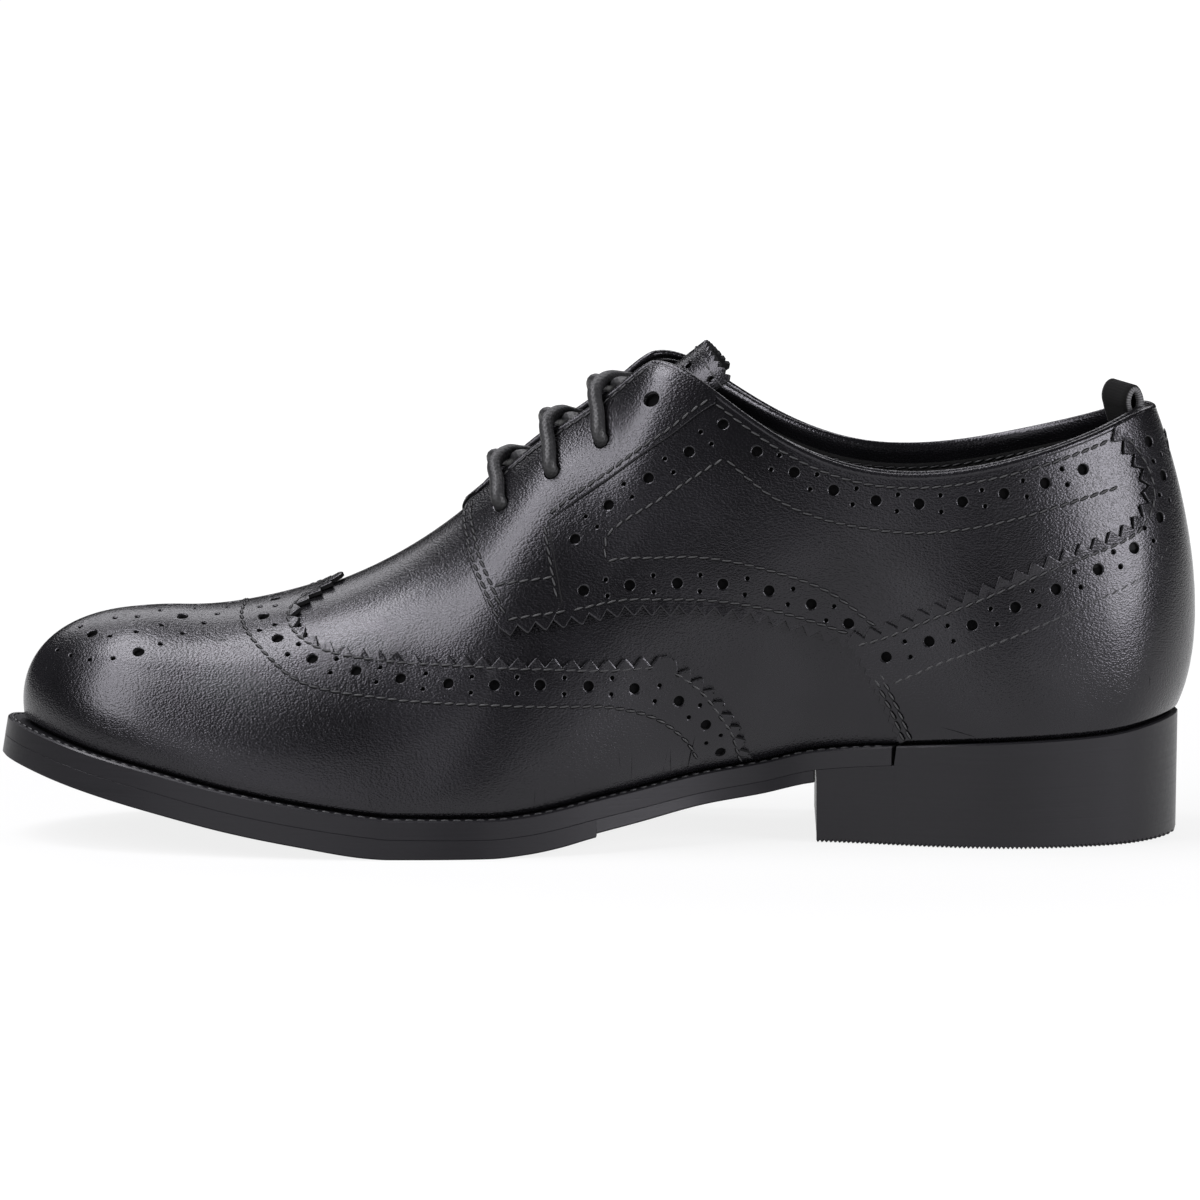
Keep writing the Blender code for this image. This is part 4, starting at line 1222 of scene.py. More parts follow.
def collar_line(first, last, drop, spacing=0.08):
    """Places along the top edge of the upper, a little below it."""
    rows = ring_rows(first, last, spacing)
    heights = edge_height(rows)
    point = outside(rows, heights)
    small = 0.01
    up = (point - outside(rows, heights - small)) / small
    fall = drop / np.linalg.norm(up, axis=-1)
    return np.stack([rows, heights - fall], axis=-1)


def feather_line(first, last, height=0.022, spacing=0.08):
    rows = ring_rows(first, last, spacing)
    return np.stack([rows, np.full(len(rows), height)], axis=-1)


def level(amount):
    return lambda a, h: np.full(np.shape(a), amount)


ROLL_FROM_ROW, ROLL_DEPTH, ROLL_DROP = 10.85, 0.65, 0.5
ROLL_CLIMB_ROWS = (6.4, 7.4)


def build_collar_roll(sizes):
    """Leather folded over the edge of collar and throat."""
    spacing, sides, tip, tip_rows = 0.06, 12, 0.3, 0.3
    rows = ring_rows(-ROLL_FROM_ROW, ROLL_FROM_ROW, spacing)
    a, h = collar_line(-ROLL_FROM_ROW, ROLL_FROM_ROW, ROLL_DROP, spacing).T
    on_facing = smooth_step(*ROLL_CLIMB_ROWS, np.abs(rows))
    path = lifted(a % LOOP, h, sizes.facing_rise * on_facing - ROLL_DEPTH)
    taper = np.minimum(1.0, tip + (ROLL_FROM_ROW - np.abs(rows)) / tip_rows)
    bm = capped(skin(tube(path, sizes.collar_roll / 2.0 * taper, sides)))
    add_piece("collar_roll_leather", bm, (finish("black_leather"),))


# Wing cap

def medallion(sizes):
    large, small = (sizes.large_hole, LARGE_HOLE_POINTS), (sizes.small_hole, SMALL_HOLE_POINTS)
    loops = punched_at(MEDALLION_MIDDLE_LARGE, "medial", *large)
    loops += punched_at(MEDALLION_MIDDLE_SMALL, "medial", *small)
    for side in SIDES:
        loops += punched_at(MEDALLION_LARGE, side, *large) + punched_at(MEDALLION_SMALL, side, *small)
    return loops


PEAK_REACH, PEAK_CALM = 9.0, 1.0


def build_wing_cap(sizes):
    """The wing-shaped toe cap with its medallion and its row of perforations."""
    teeth = (sizes.pink_pitch, sizes.pink_depth, 1.0, WING_SEAT)
    lines = {}
    for side in SIDES:
        edge = seam_of(WING_EDGE, side).pinked(*teeth, PEAK_CALM)
        back = seam_of(WING_BACK, side).pinked(*teeth)
        lines[side] = np.concatenate([edge, back[1:]])
    bottom = feather_line(lines["medial"][-1, 0], lines["lateral"][-1, 0])
    outline = np.concatenate([lines["medial"], bottom[1:-1], lines["lateral"][:0:-1]])
    punched = medallion(sizes)
    for side in SIDES:
        punched += hole_row(WING_HOLES, side, sizes)
    punched += punched_at(WING_PEAK_HOLES, "medial", sizes.small_hole, SMALL_HOLE_POINTS)
    from_peak = distance_from(lines["medial"][:1])

    def lift(a, h):
        return sizes.peak_rise * (1.0 - smooth_step(0.0, PEAK_REACH, from_peak(a, h)))

    tips = [seam_of(marks, side).plain() for marks in (WING_EDGE, WING_BACK) for side in SIDES]
    lay_panel(
        "wing_cap_leather", ToePattern(), [outline], punched, lift, level(OVERLAY), sizes, ("wing_cap",),
        curl=curled(tips, sizes),
    )


# Quarters and facings

QUARTER_UNDER_COUNTER, COUNTER_OVERLAP = 1.6, (0.2, 0.8)
COLLAR_INSET = 0.35
NEAR_TOP, CLEAR_OF_CORNER = 0.985, 0.15
QUARTER_MIDDLE_ROW, FACING_MIDDLE_ROW = 6.0, 9.0


def front_line(side):
    """Front edge of the facing from where it leaves the throat."""
    front = seam_of(FACING_FRONT, side).plain()
    margin = 0.004
    inside = front[:, 1] < edge_height(front[:, 0]) - margin
    return front[np.argmax(inside) :]


def eyelet_loops(side, radius):
    rows = [own_row(row, side) for row in EYELET_ROWS]
    heights = EYELET_HEIGHT * edge_height(np.array(rows))
    return [hole((row, height), radius, LARGE_HOLE_POINTS) for row, height in zip(rows, heights)]


def quarter_teeth(side, sizes):
    return seam_of(QUARTER_EDGE, side).pinked(sizes.pink_pitch, sizes.pink_depth, -1.0, QUARTER_SEAT)


def build_quarters(sizes):
    """The two quarters with their eyelets and rows of perforations."""
    for side in SIDES:
        front = front_line(side)
        lower = quarter_teeth(side, sizes)
        hidden = seam_of(COUNTER_EDGE, side).offset(-QUARTER_UNDER_COUNTER).plain()
        hidden = hidden[hidden[:, 1] < NEAR_TOP]
        top = collar_line(hidden[-1, 0], front[0, 0], COLLAR_INSET)
        hidden = hidden[np.abs(hidden[:, 0] - lower[-1, 0]) > CLEAR_OF_CORNER]
        outline = np.concatenate([front, lower[1:-1], hidden, top[:-1]])
        punched = []
        for marks in (FACING_HOLES, COLLAR_HOLES, LOWER_HOLES):
            punched += hole_row(marks, side, sizes)
        punched += eyelet_loops(side, sizes.eyelet / 2.0)
        name = f"quarter_{side}"
        pattern = SidePattern(own_row(QUARTER_MIDDLE_ROW, side))
        tips = [seam_of(QUARTER_EDGE[:-1], side).offset(-sizes.pink_depth).plain()]
        lay_panel(
            f"{name}_leather", pattern, [outline], punched, level(0.0), level(OVERLAY), sizes, (name,),
            curl=curled(tips, sizes),
        )


FACING_FADE, FACING_THIN = 7.0, 0.08
FACING_CLEARANCE = 0.02


def facing_height(side, sizes, above=0.0):
    """Height of the facing, or of a level above it, thinned down to the stitch line at its back."""
    from_back = distance_from(seam_of(FACING_BACK, side).plain())

    def height(a, h):
        full = FACING_THIN + (1.0 - FACING_THIN) * smooth_step(0.0, FACING_FADE, from_back(a, h))
        return sizes.facing_rise * full + above

    return height


def build_facings(sizes):
    """The lace facings on the quarters."""
    for side in SIDES:
        front = front_line(side)
        seam = seam_of(FACING_SEAM, side).plain()
        back = seam_of(FACING_BACK, side).plain()
        lower = quarter_teeth(side, sizes)
        lower = lower[np.abs(lower[:, 0] - front[-1, 0]) < np.abs(back[-1, 0] - front[-1, 0])]
        top = collar_line(seam[0, 0], front[0, 0], COLLAR_INSET)
        outline = np.concatenate([front, lower[1:], back[::-1], seam[-2::-1], top[:-1]])
        loops = [outline] + eyelet_loops(side, sizes.eyelet / 2.0)
        lift = facing_height(side, sizes)
        thickness = facing_height(side, sizes, -FACING_CLEARANCE)
        pattern = SidePattern(own_row(FACING_MIDDLE_ROW, side))
        lay_panel(f"facing_{side}_leather", pattern, loops, [], lift, thickness, sizes)


# Counter

COUNTER_SINK, COUNTER_FADE = 0.85, (4.0, 16.0)
COUNTER_CLEARANCE = 0.03


def build_counter(sizes):
    """The counter round the heel, raised where it laps over the quarters."""
    edges, fronts, bases, tips, punched = {}, {}, [], [], []
    for side in SIDES:
        edge, front = seam_of(COUNTER_EDGE, side), seam_of(COUNTER_FRONT, side)
        bases.append(edge.plain())
        tips.append(edge.offset(sizes.pink_depth).plain())
        pinked = edge.pinked(sizes.pink_pitch, sizes.pink_depth, 1.0, COUNTER_SEAT)
        edges[side] = pinked[pinked[:, 1] < NEAR_TOP]
        fronts[side] = front.pinked(sizes.front_pitch, sizes.front_depth, -1.0, COUNTER_FRONT_SEAT)
        punched += hole_row(COUNTER_HOLES, side, sizes)
    from_seam = distance_from(np.concatenate(bases))

    def lift(a, h):
        return sizes.counter_rise * (1.0 - COUNTER_SINK * smooth_step(*COUNTER_FADE, from_seam(a, h)))

    def thickness(a, h):
        over_quarter = 1.0 - smooth_step(*COUNTER_OVERLAP, from_seam(a, h) - QUARTER_UNDER_COUNTER)
        return over_quarter * (lift(a, h) - COUNTER_CLEARANCE) + (1.0 - over_quarter) * OVERLAY

    top = collar_line(edges["medial"][-1, 0], edges["lateral"][-1, 0] - LOOP, COLLAR_INSET)
    bottom = feather_line(fronts["lateral"][-1, 0] - LOOP, fronts["medial"][-1, 0])
    medial = np.concatenate([fronts["medial"][::-1], edges["medial"][1:]])
    lateral = np.concatenate([edges["lateral"][::-1], fronts["lateral"][1:]])
    lateral[:, 0] -= LOOP
    outline = np.concatenate([medial, top[1:-1], lateral, bottom[1:-1]])
    lay_panel(
        "counter_leather", SidePattern(0.0), [outline], punched, lift, thickness, sizes, ("counter",),
        curl=curled(tips, sizes),
    )


# Stitching

def stitch_template():
    """One stitch: a short bead, a millimetre long, wide and high, lying along X."""
    bm = bmesh.new()
    bmesh.ops.create_uvsphere(bm, u_segments=6, v_segments=4, radius=0.5)
    verts = np.array([vert.co for vert in bm.verts])[:, (2, 0, 1)]
    faces = [[vert.index for vert in face.verts] for face in bm.faces]
    bm.free()
    return verts, faces


def join_beads(name, frames, size, material):
    """Join one bead for each frame of (point, along, across, normal) into a single piece."""
    verts, faces = stitch_template()
    point, along, across, normal = (np.concatenate(part) for part in zip(*frames))
    axes = np.stack([along * size[0], across * size[1], normal * size[2]], axis=1)
    placed = point[:, None, :] + np.einsum("vk,nkc->nvc", verts, axes)
    every_face = [[len(verts) * n + index for index in face] for n in range(len(point)) for face in faces]
    mesh = bpy.data.meshes.new(name)
    mesh.from_pydata(placed.reshape(-1, 3).tolist(), [], every_face)
    bm = bmesh.new()
    bm.from_mesh(mesh)
    bpy.data.meshes.remove(mesh)
    bmesh.ops.recalc_face_normals(bm, faces=bm.faces)
    return add_piece(name, bm, (material,))


STITCH_SLANT = math.radians(9.0)
ON_LEATHER, ON_COUNTER, ON_COUNTER_INNER = 0.06, 0.02, 0.05
COUNTER_INNER_SHARE, COUNTER_FRONT_SHARE = 0.35, 0.5
# Each stitch lies over a flat dark bead of painted shade: its width and thickness against the stitch's, and
# how far below the stitch it sits
SHADE_PATCH_WIDTH, SHADE_PATCH_HEIGHT, SHADE_PATCH_SINK = 2.0, 0.3, 0.05

# Distances of rows of stitches from the edges and seams they follow, and how much of the quarter's lower
# row lies on the facing
FACING_FRONT_ROWS, COUNTER_FRONT_ROWS = (0.9, 2.6), (1.4, 3.0)
FACING_SEAM_ROW, FACING_BACK_ROW = -1.3, -1.2
LOWER_ON_FACING = 15.0
COLLAR_STITCH_DROP, THROAT_STITCH_DROP, LINING_STITCH_DROP = 2.7, 2.2, 4.6

# Rows where stitching along the collar begins and ends: its back outside and inside, the corner of the
# facing, and both ends of the throat
COLLAR_STITCH_ROWS = (1.8, 1.2, 7.0, 8.15, 10.6)


def stitch_frames(seam, sizes, lift, start=0.5, end=0.5):
    """Frames of slightly slanted stitches along a seam, at a height or a function of the place."""
    s = seam.steps(sizes.stitch_pitch, start, end)
    along, across, normal = seam.heading(s)
    heights = lift(*seam.at(s))[:, None] if callable(lift) else lift
    ahead = math.cos(STITCH_SLANT) * along + math.sin(STITCH_SLANT) * across
    aside = math.cos(STITCH_SLANT) * across - math.sin(STITCH_SLANT) * along
    return outside(*seam.at(s)) + heights * normal, ahead, aside, normal


def wing_stitches(side, sizes):
    inside = -sizes.edge_to_stitch
    return [
        stitch_frames(seam_of(WING_EDGE, side).offset(inside), sizes, ON_LEATHER, start=2.0, end=3.0),
        stitch_frames(seam_of(WING_BACK, side).offset(inside), sizes, ON_LEATHER, start=3.0),
        stitch_frames(seam_of(WING_INNER_STITCH, side), sizes, ON_LEATHER),
    ]


def quarter_stitches(side, sizes):
    on_facing = facing_height(side, sizes, ON_LEATHER)
    front = seam_of(FACING_FRONT, side)
    frames = []
    for aside in FACING_FRONT_ROWS:
        frames.append(stitch_frames(front.offset(aside), sizes, on_facing, start=5.0, end=2.0))
    lower = seam_of(QUARTER_EDGE, side).offset(sizes.quarter_to_stitch)
    behind_facing = lower.total - LOWER_ON_FACING
    frames.append(stitch_frames(lower, sizes, on_facing, start=2.0, end=behind_facing))
    frames.append(stitch_frames(lower, sizes, ON_LEATHER, start=LOWER_ON_FACING + 1.5, end=2.0))
    for seam in (
        seam_of(FACING_SEAM, side).offset(FACING_SEAM_ROW),
        seam_of(FACING_BACK, side).offset(FACING_BACK_ROW),
        seam_of(FACING_BOX, side),
    ):
        frames.append(stitch_frames(seam, sizes, on_facing, start=1.0, end=1.0))
    for marks in (PANEL_FRONT, PANEL_TOP, PANEL_LOW):
        frames.append(stitch_frames(seam_of(marks, side), sizes, ON_LEATHER))

    back, lining_back, corner, throat_top, throat_end = (own_row(row, side) for row in COLLAR_STITCH_ROWS)
    collar = Seam(collar_line(back, corner, COLLAR_STITCH_DROP, spacing=0.5), MIRROR[side])
    frames.append(stitch_frames(collar, sizes, ON_LEATHER))
    throat = Seam(collar_line(throat_top, throat_end, THROAT_STITCH_DROP, spacing=0.3), MIRROR[side])
    frames.append(stitch_frames(throat, sizes, on_facing))
    lined = Seam(collar_line(lining_back, corner, LINING_STITCH_DROP, spacing=0.5), MIRROR[side])
    point, along, across, normal = stitch_frames(lined, sizes, -LINING_DEPTH - ON_LEATHER)
    frames.append((point, along, -across, -normal))
    return frames


def counter_stitches(side, sizes):
    rise = sizes.counter_rise
    edge = seam_of(COUNTER_EDGE, side).offset(-sizes.counter_to_stitch)
    frames = [
        stitch_frames(edge, sizes, rise + ON_COUNTER, start=2.0, end=4.0),
        stitch_frames(seam_of(COUNTER_STITCH, side), sizes, COUNTER_INNER_SHARE * rise + ON_COUNTER_INNER),
    ]
    for aside in COUNTER_FRONT_ROWS:
        front = seam_of(COUNTER_FRONT, side).offset(aside)
        frames.append(stitch_frames(front, sizes, COUNTER_FRONT_SHARE * rise, start=2.0))
    return frames


def build_stitching(sizes):
    """Every row of stitches on the leather, each stitch over a flat dark bead of painted shade."""
    size = (sizes.stitch_length, sizes.stitch_width, sizes.stitch_height)
    shade_patch_size = (sizes.stitch_pitch, SHADE_PATCH_WIDTH * sizes.stitch_width, SHADE_PATCH_HEIGHT * sizes.stitch_height)
    groups = {"wing": wing_stitches, "quarter": quarter_stitches, "counter": counter_stitches}
    for name, stitches in groups.items():
        frames = [row for side in SIDES for row in stitches(side, sizes)]
        join_beads(f"{name}_stitching", frames, size, finish("waxed_thread"))
        # Painted shade: a flat dark bead under each stitch, in the dull black of the hole floors
        shade_frames = [(point - SHADE_PATCH_SINK * normal, *axes, normal) for point, *axes, normal in frames]
        join_beads(f"{name}_stitch_painted_shade", shade_frames, shade_patch_size, finish("hole_floor"))


# Tongue

TONGUE_WIDTH_SCALE, TONGUE_LENGTH_SCALE = 15.0, 13.0
TONGUE_THICKNESS = 1.6
TONGUE_SIDE_STEPS, TONGUE_FOOT_STEPS, TONGUE_CORNER = 50, 15, 0.2
TONGUE_STITCHED, TONGUE_STITCH_DROP = 0.96, 0.3
tongue_middle = spline([(row.x, row.z) for row in TONGUE], False)
tongue_shape = spline([(row.radius, row.half) for row in TONGUE], False)


def tongue_frame(s, w):
    """Place on the tongue's outside and the way it faces, s along it and w from edge to edge (-1 to 1)."""
    small = 0.01
    x, z = np.moveaxis(tongue_middle(s), -1, 0)
    ahead = tongue_middle(s + small) - tongue_middle(s - small)
    ahead_x, ahead_z = np.moveaxis(ahead / np.linalg.norm(ahead, axis=-1, keepdims=True), -1, 0)
    radius, half = np.moveaxis(tongue_shape(s), -1, 0)
    angle = w * half / radius
    drop = radius * (1.0 - np.cos(angle))
    point = np.stack([x + drop * ahead_z, radius * np.sin(angle), z - drop * ahead_x], axis=-1)
    normal = np.stack([-ahead_z * np.cos(angle), np.sin(angle), ahead_x * np.cos(angle)], axis=-1)
    return point, normal


class TonguePattern:
    def flat(self, s, w):
        return np.stack([-np.asarray(w) * TONGUE_WIDTH_SCALE, np.asarray(s) * TONGUE_LENGTH_SCALE], axis=-1)

    def place(self, flat):
        return flat[:, 1] / TONGUE_LENGTH_SCALE, -flat[:, 0] / TONGUE_WIDTH_SCALE


def tongue_surface(s, w, lift):
    point, normal = tongue_frame(s, w)
    return point + lift[:, None] * normal


def build_tongue(sizes):
    """The tongue with its holes, its pinked end and the stitching below it."""
    end = len(TONGUE) - 1.0
    teeth = round(2.0 * TONGUE[-1].half / sizes.tongue_pitch)
    across = np.linspace(-1.0, 1.0, 2 * teeth + 1)
    bite = np.where(np.arange(2 * teeth + 1) % 2, 0.0, sizes.tongue_depth / TONGUE_LENGTH_SCALE)
    top = np.stack([end - bite, across], axis=-1)
    side = np.linspace(0.0, end - TONGUE_CORNER, TONGUE_SIDE_STEPS)
    foot = np.linspace(-1.0, 1.0, TONGUE_FOOT_STEPS)[1:-1]
    outline = np.concatenate([
        np.stack([side, np.full(len(side), -1.0)], axis=-1),
        top,
        np.stack([side[::-1], np.full(len(side), 1.0)], axis=-1),
        np.stack([np.zeros(len(foot)), foot[::-1]], axis=-1),
    ])
    loops = [outline]
    turn = np.linspace(0.0, 2.0 * math.pi, LARGE_HOLE_POINTS, endpoint=False)
    for s, w, breadth in TONGUE_HOLES:
        for mirror in (-1.0, 1.0):
            round_s = s + breadth / 2.0 * np.sin(turn) / TONGUE_LENGTH_SCALE
            round_w = mirror * w + breadth / 2.0 * np.cos(turn) / TONGUE_WIDTH_SCALE
            loops.append(np.stack([round_s, round_w], axis=-1))
    lay_panel(
        "tongue_leather", TonguePattern(), loops, [], level(0.0), level(TONGUE_THICKNESS), sizes,
        ("tongue",), surface=tongue_surface, facing=lambda s, w: tongue_frame(s, w)[1],
    )
    small = 0.01
    w = np.arange(-TONGUE_STITCHED, TONGUE_STITCHED + small, sizes.stitch_pitch / TONGUE[-1].half)
    s = np.full(len(w), end - (sizes.tongue_band + TONGUE_STITCH_DROP) / TONGUE_LENGTH_SCALE)
    point, normal = tongue_frame(s, w)
    along = tongue_frame(s, w + small)[0] - tongue_frame(s, w - small)[0]
    along /= np.linalg.norm(along, axis=-1, keepdims=True)
    frames = [(point + ON_LEATHER * normal, along, np.cross(normal, along), normal)]
    size = (sizes.stitch_length, sizes.stitch_width, sizes.stitch_height)
    join_beads("tongue_stitching", frames, size, finish("waxed_thread"))


# Laces

def tube(path, radii, sides):
    """Rings of points round a path, closed on themselves, with no twist along it."""
    along = np.gradient(path, axis=0)
    along /= np.linalg.norm(along, axis=-1, keepdims=True)
    rings = []
    any_way = (0.3, 0.4, 1.0)
    right = np.cross(along[0], any_way)
    for point, ahead, radius in zip(path, along, radii):
        right = right - ahead * right.dot(ahead)
        right /= np.linalg.norm(right)
        up = np.cross(ahead, right)
        turn = np.linspace(0.0, 2.0 * math.pi, sides + 1)[:, None]
        rings.append(point + radius * (np.cos(turn) * right + np.sin(turn) * up))
    return np.array(rings)


def on_shoe(a, share, lift):
    """Place at a share of the way up to the edge of the upper, at a height above the finished outside."""
    return lifted(a, share * edge_height(np.asarray(a, float)), np.asarray(lift, float))


def lace_route(row, next_row, way, rise):
    """Places along one lace, from inside its eyelet over the throat to under the other facing."""
    drift = next_row - row
    route = [on_shoe(row * way % LOOP, EYELET_HEIGHT, -depth) for depth in LACE_IN_EYELET]
    for step in LACE_CLIMB:
        a = (row + step.drift * drift) * way % LOOP
        route.append(on_shoe(a, step.height, LACE_RADIUS + LACE_CLEARANCE + step.rise))
    middle = row + LACE_CROSS_DRIFT * drift
    near, far = on_shoe(middle, 1.0, 0.0), on_shoe(LOOP - middle, 1.0, 0.0)
    square = outside_normal(middle, edge_height(np.asarray(middle)))
    square = square + outside_normal(LOOP - middle, edge_height(np.asarray(LOOP - middle)))
    square /= np.linalg.norm(square)
    route.append((near + far) / 2.0 + rise * square)
    end = row + LACE_END_DRIFT * drift
    here, there = on_shoe(end * way % LOOP, 1.0, 0.0), on_shoe(-end * way % LOOP, 1.0, 0.0)
    back = (here - there) / np.linalg.norm(here - there)
    route.append(there + LACE_END_INSET * back + LACE_END_RISE * square)
    for share, depth in LACE_TAIL:
        route.append(on_shoe(-(row + LACE_TAIL_DRIFT * drift) * way % LOOP, share, -depth))
    return np.array(route)


def smooth_path(route):
    """Points of a smooth line through the places of a route, and its length."""
    path = spline(route, False)(np.linspace(0.0, len(route) - 1.0, PATH_POINTS))
    return path, np.linalg.norm(np.diff(path, axis=0), axis=-1).sum()


def build_laces(sizes):
    """The crossings of the lace, each of two runs that thin out under the facings."""
    share = np.linspace(0.0, 1.0, PATH_POINTS)
    radii = sizes.lace / 2.0 * (1.0 - LACE_THINNING * smooth_step(*LACE_THINNED, share))
    for i in range(len(EYELET_ROWS) - 1):
        whole = bmesh.new()
        for way, rise in ((1, LACE_OVER), (-1, LACE_UNDER)):
            path, length = smooth_path(lace_route(EYELET_ROWS[i], EYELET_ROWS[i + 1], way, rise))
            one = capped(skin(tube(path, radii, LACE_SIDES), measure=(length, 1.0)))
            part = bpy.data.meshes.new("lace_part")
            one.to_mesh(part)
            one.free()
            whole.from_mesh(part)
            bpy.data.meshes.remove(part)
        name = f"lace_cross_{i + 1}"
        add_piece(f"{name}_cord", whole, (finish("waxed_lace"),), (name,))


# Pull loop

def build_pull_loop(sizes):
    """Folded tape inside the collar at the back."""
    outer_depth = LINING_DEPTH + TAPE_FROM_WALL + TAPE_THICKNESS / 2.0
    inner_depth = outer_depth + TAPE_THICKNESS + GAP
    outer_leg = [on_shoe(TAPE_ROW, share, -outer_depth) for share in TAPE_LEG_HEIGHTS]
    inner_leg = [on_shoe(TAPE_ROW, share, -inner_depth) for share in TAPE_LEG_HEIGHTS]
    up = np.array((0.0, 0.0, 1.0))
    inwards = (inner_leg[-1] - outer_leg[-1]) * (1.0, 1.0, 0.0)
    inwards /= np.linalg.norm(inwards)
    middle = (outer_leg[-1] + inner_leg[-1]) / 2.0
    fold = [middle + step.across * inwards + step.rise * up for step in TAPE_FOLD]
    route = outer_leg + fold + inner_leg[::-1]
    path, length = smooth_path(route)
    along = np.gradient(path, axis=0)
    along /= np.linalg.norm(along, axis=-1, keepdims=True)
    sideways = np.cross(up, inwards)
    square = np.cross(along, sideways)
    half, thick = sizes.tape / 2.0, TAPE_LAYER / 2.0
    front = [(w, thick) for w in np.linspace(-1.0, 1.0, TAPE_COLUMNS)]
    front[0], front[-1] = ((w, t * (1.0 - TAPE_EDGE_THINNING)) for w, t in (front[0], front[-1]))
    section = front + [(w, -t) for w, t in front[::-1]] + front[:1]
    points = np.array([[p + half * w * sideways + t * q for w, t in section] for p, q in zip(path, square)])
    bm = capped(skin(points, measure=(length, 1.0)))
    add_piece("pull_loop_tape", bm, (finish("loop_tape"),), ("pull_loop",))


# Sole

def row_at(x):
    """Medial row whose feather point lies at x."""
    samples = 1701
    rows = np.linspace(0.0, TIP, samples)
    return float(np.interp(-x, -foot_line(rows)[:, 0], rows))


def welt_line(x):
    return sole_top(x) - WELT_THICKNESS


def waist_bottom(x):
    return sole_bottom(x) + TREAD_STEP


def ground(x):
    return 0.0


def groove(x):
    return HEEL_RIB_DEPTH


def side_points(a, marks):
    """Places at a row, each from its distance beyond the feather line, a level and a rise above it."""
    a = np.asarray(a, float)
    side = []
    for outwards, height, more in marks:
        x, y = foot_line(a) + outwards * outward(a)
        side.append((x, y, float(height(x)) + more))
    return side


def toe_rows(count):
    """The last rows before the tip, closer and closer together."""
    crowding = 1.5
    return TIP - np.linspace(1.0, 0.0, count)[1:] ** crowding


def sole_side(a, bottom, rebated, taper):
    """Points up one side of the sole at a row, from the tread to the inside of its top."""
    width = float(edge_width(np.asarray(a, float))[0])
    low_width, high_width = width - taper, width * (1.0 - EDGE_SLANT * (0.5 if rebated else 1.0))
    top = welt_line if rebated else sole_top
    inner = -WELT_UNDER_UPPER - GAP
    round_top = JOINT_CHAMFER if rebated else SOLE_CHAMFER
    return side_points(a, (
        (low_width - TREAD_INSET, bottom, 0.0),
        (low_width - SOLE_CHAMFER, bottom, 0.0),
        (low_width, bottom, SOLE_CHAMFER),
        (high_width, top, -round_top),
        (high_width - round_top, top, 0.0),
        (inner, top, 0.0),
        (inner - TOP_DIP, sole_top, 0.0),
    ))


def sole_block(rows, bottoms, rebates, taper, ahead, behind):
    """Loft a block of the sole from its rows, each a ring from the medial to the lateral side."""
    rings = []
    for a, bottom, rebated in zip(rows, bottoms, rebates):
        medial = sole_side(a, bottom, rebated, taper)
        lateral = sole_side(-a, bottom, rebated, taper)
        ring = np.array(medial[::-1] + lateral + medial[-1:])
        ring[:, 0] = np.clip(ring[:, 0], ahead, behind)
        rings.append(ring)
    return capped(skin(np.array(rings)))


def welt_ring(a):
    """Points round the welt at a row."""
    width = float(edge_width(np.asarray(a, float))[0])
    low, high, inner = width * (1.0 - EDGE_SLANT / 2.0), width * (1.0 - EDGE_SLANT), -WELT_UNDER_UPPER
    marks = (
        (inner, welt_line, 0.0),
        (low - JOINT_CHAMFER, welt_line, 0.0),
        (low, welt_line, JOINT_CHAMFER),
        (high, sole_top, -SOLE_CHAMFER),
        (high - SOLE_CHAMFER, sole_top, 0.0),
        (inner, sole_top, 0.0),
    )
    return side_points(a, marks + marks[:1])


def add_sole_piece(name, bm, node):
    piece = add_piece(name, bm, (finish("black_rubber"),), (node,))
    piece.data.set_sharp_from_angle(angle=SOLE_CREASE)
    return piece


def build_sole(sizes):
    """Outsole with its tread, ribbed heel, and welt with its stitches."""
    far, step, row_step, toe_count, welt_step = 1000.0, 0.02, 0.1, 40, 0.08
    back, end, front = row_at(BREAST_X), row_at(TREAD_END_X + step), row_at(TREAD_END_X - step)
    waist, forepart = ring_rows(back, end, row_step), ring_rows(front, TIP - 1.0, row_step)
    rows = np.concatenate([waist, forepart, toe_rows(toe_count)])
    bottoms = [waist_bottom if i < len(waist) else sole_bottom for i in range(len(rows))]
    bm = sole_block(rows, bottoms, [True] * len(rows), 0.0, -far, BREAST_X)
    add_sole_piece("outsole_tread", bm, "outsole")

    places = np.arange(BREAST_X + GAP, foot_line(0.0)[0], HEEL_RIB / 2.0)[::-1]
    rows = np.array([0.0] + [row_at(x) for x in places])
    bottoms = [ground if i % 2 else groove for i in range(len(rows))]
    rebates = [foot_line(a)[0] < WELT_END_X + WELT_JOINT for a in rows]
    bm = sole_block(rows, bottoms, rebates, HEEL_TAPER, BREAST_X + GAP, far)
    add_sole_piece("heel_block", bm, "heel")

    first = row_at(WELT_END_X)
    rings = [welt_ring(a) for a in ring_rows(first, LOOP - first, welt_step)]
    add_sole_piece("welt_strip", capped(skin(np.array(rings))), "welt")
    build_welt_stitches(sizes, first + WELT_STITCH_ENDS)


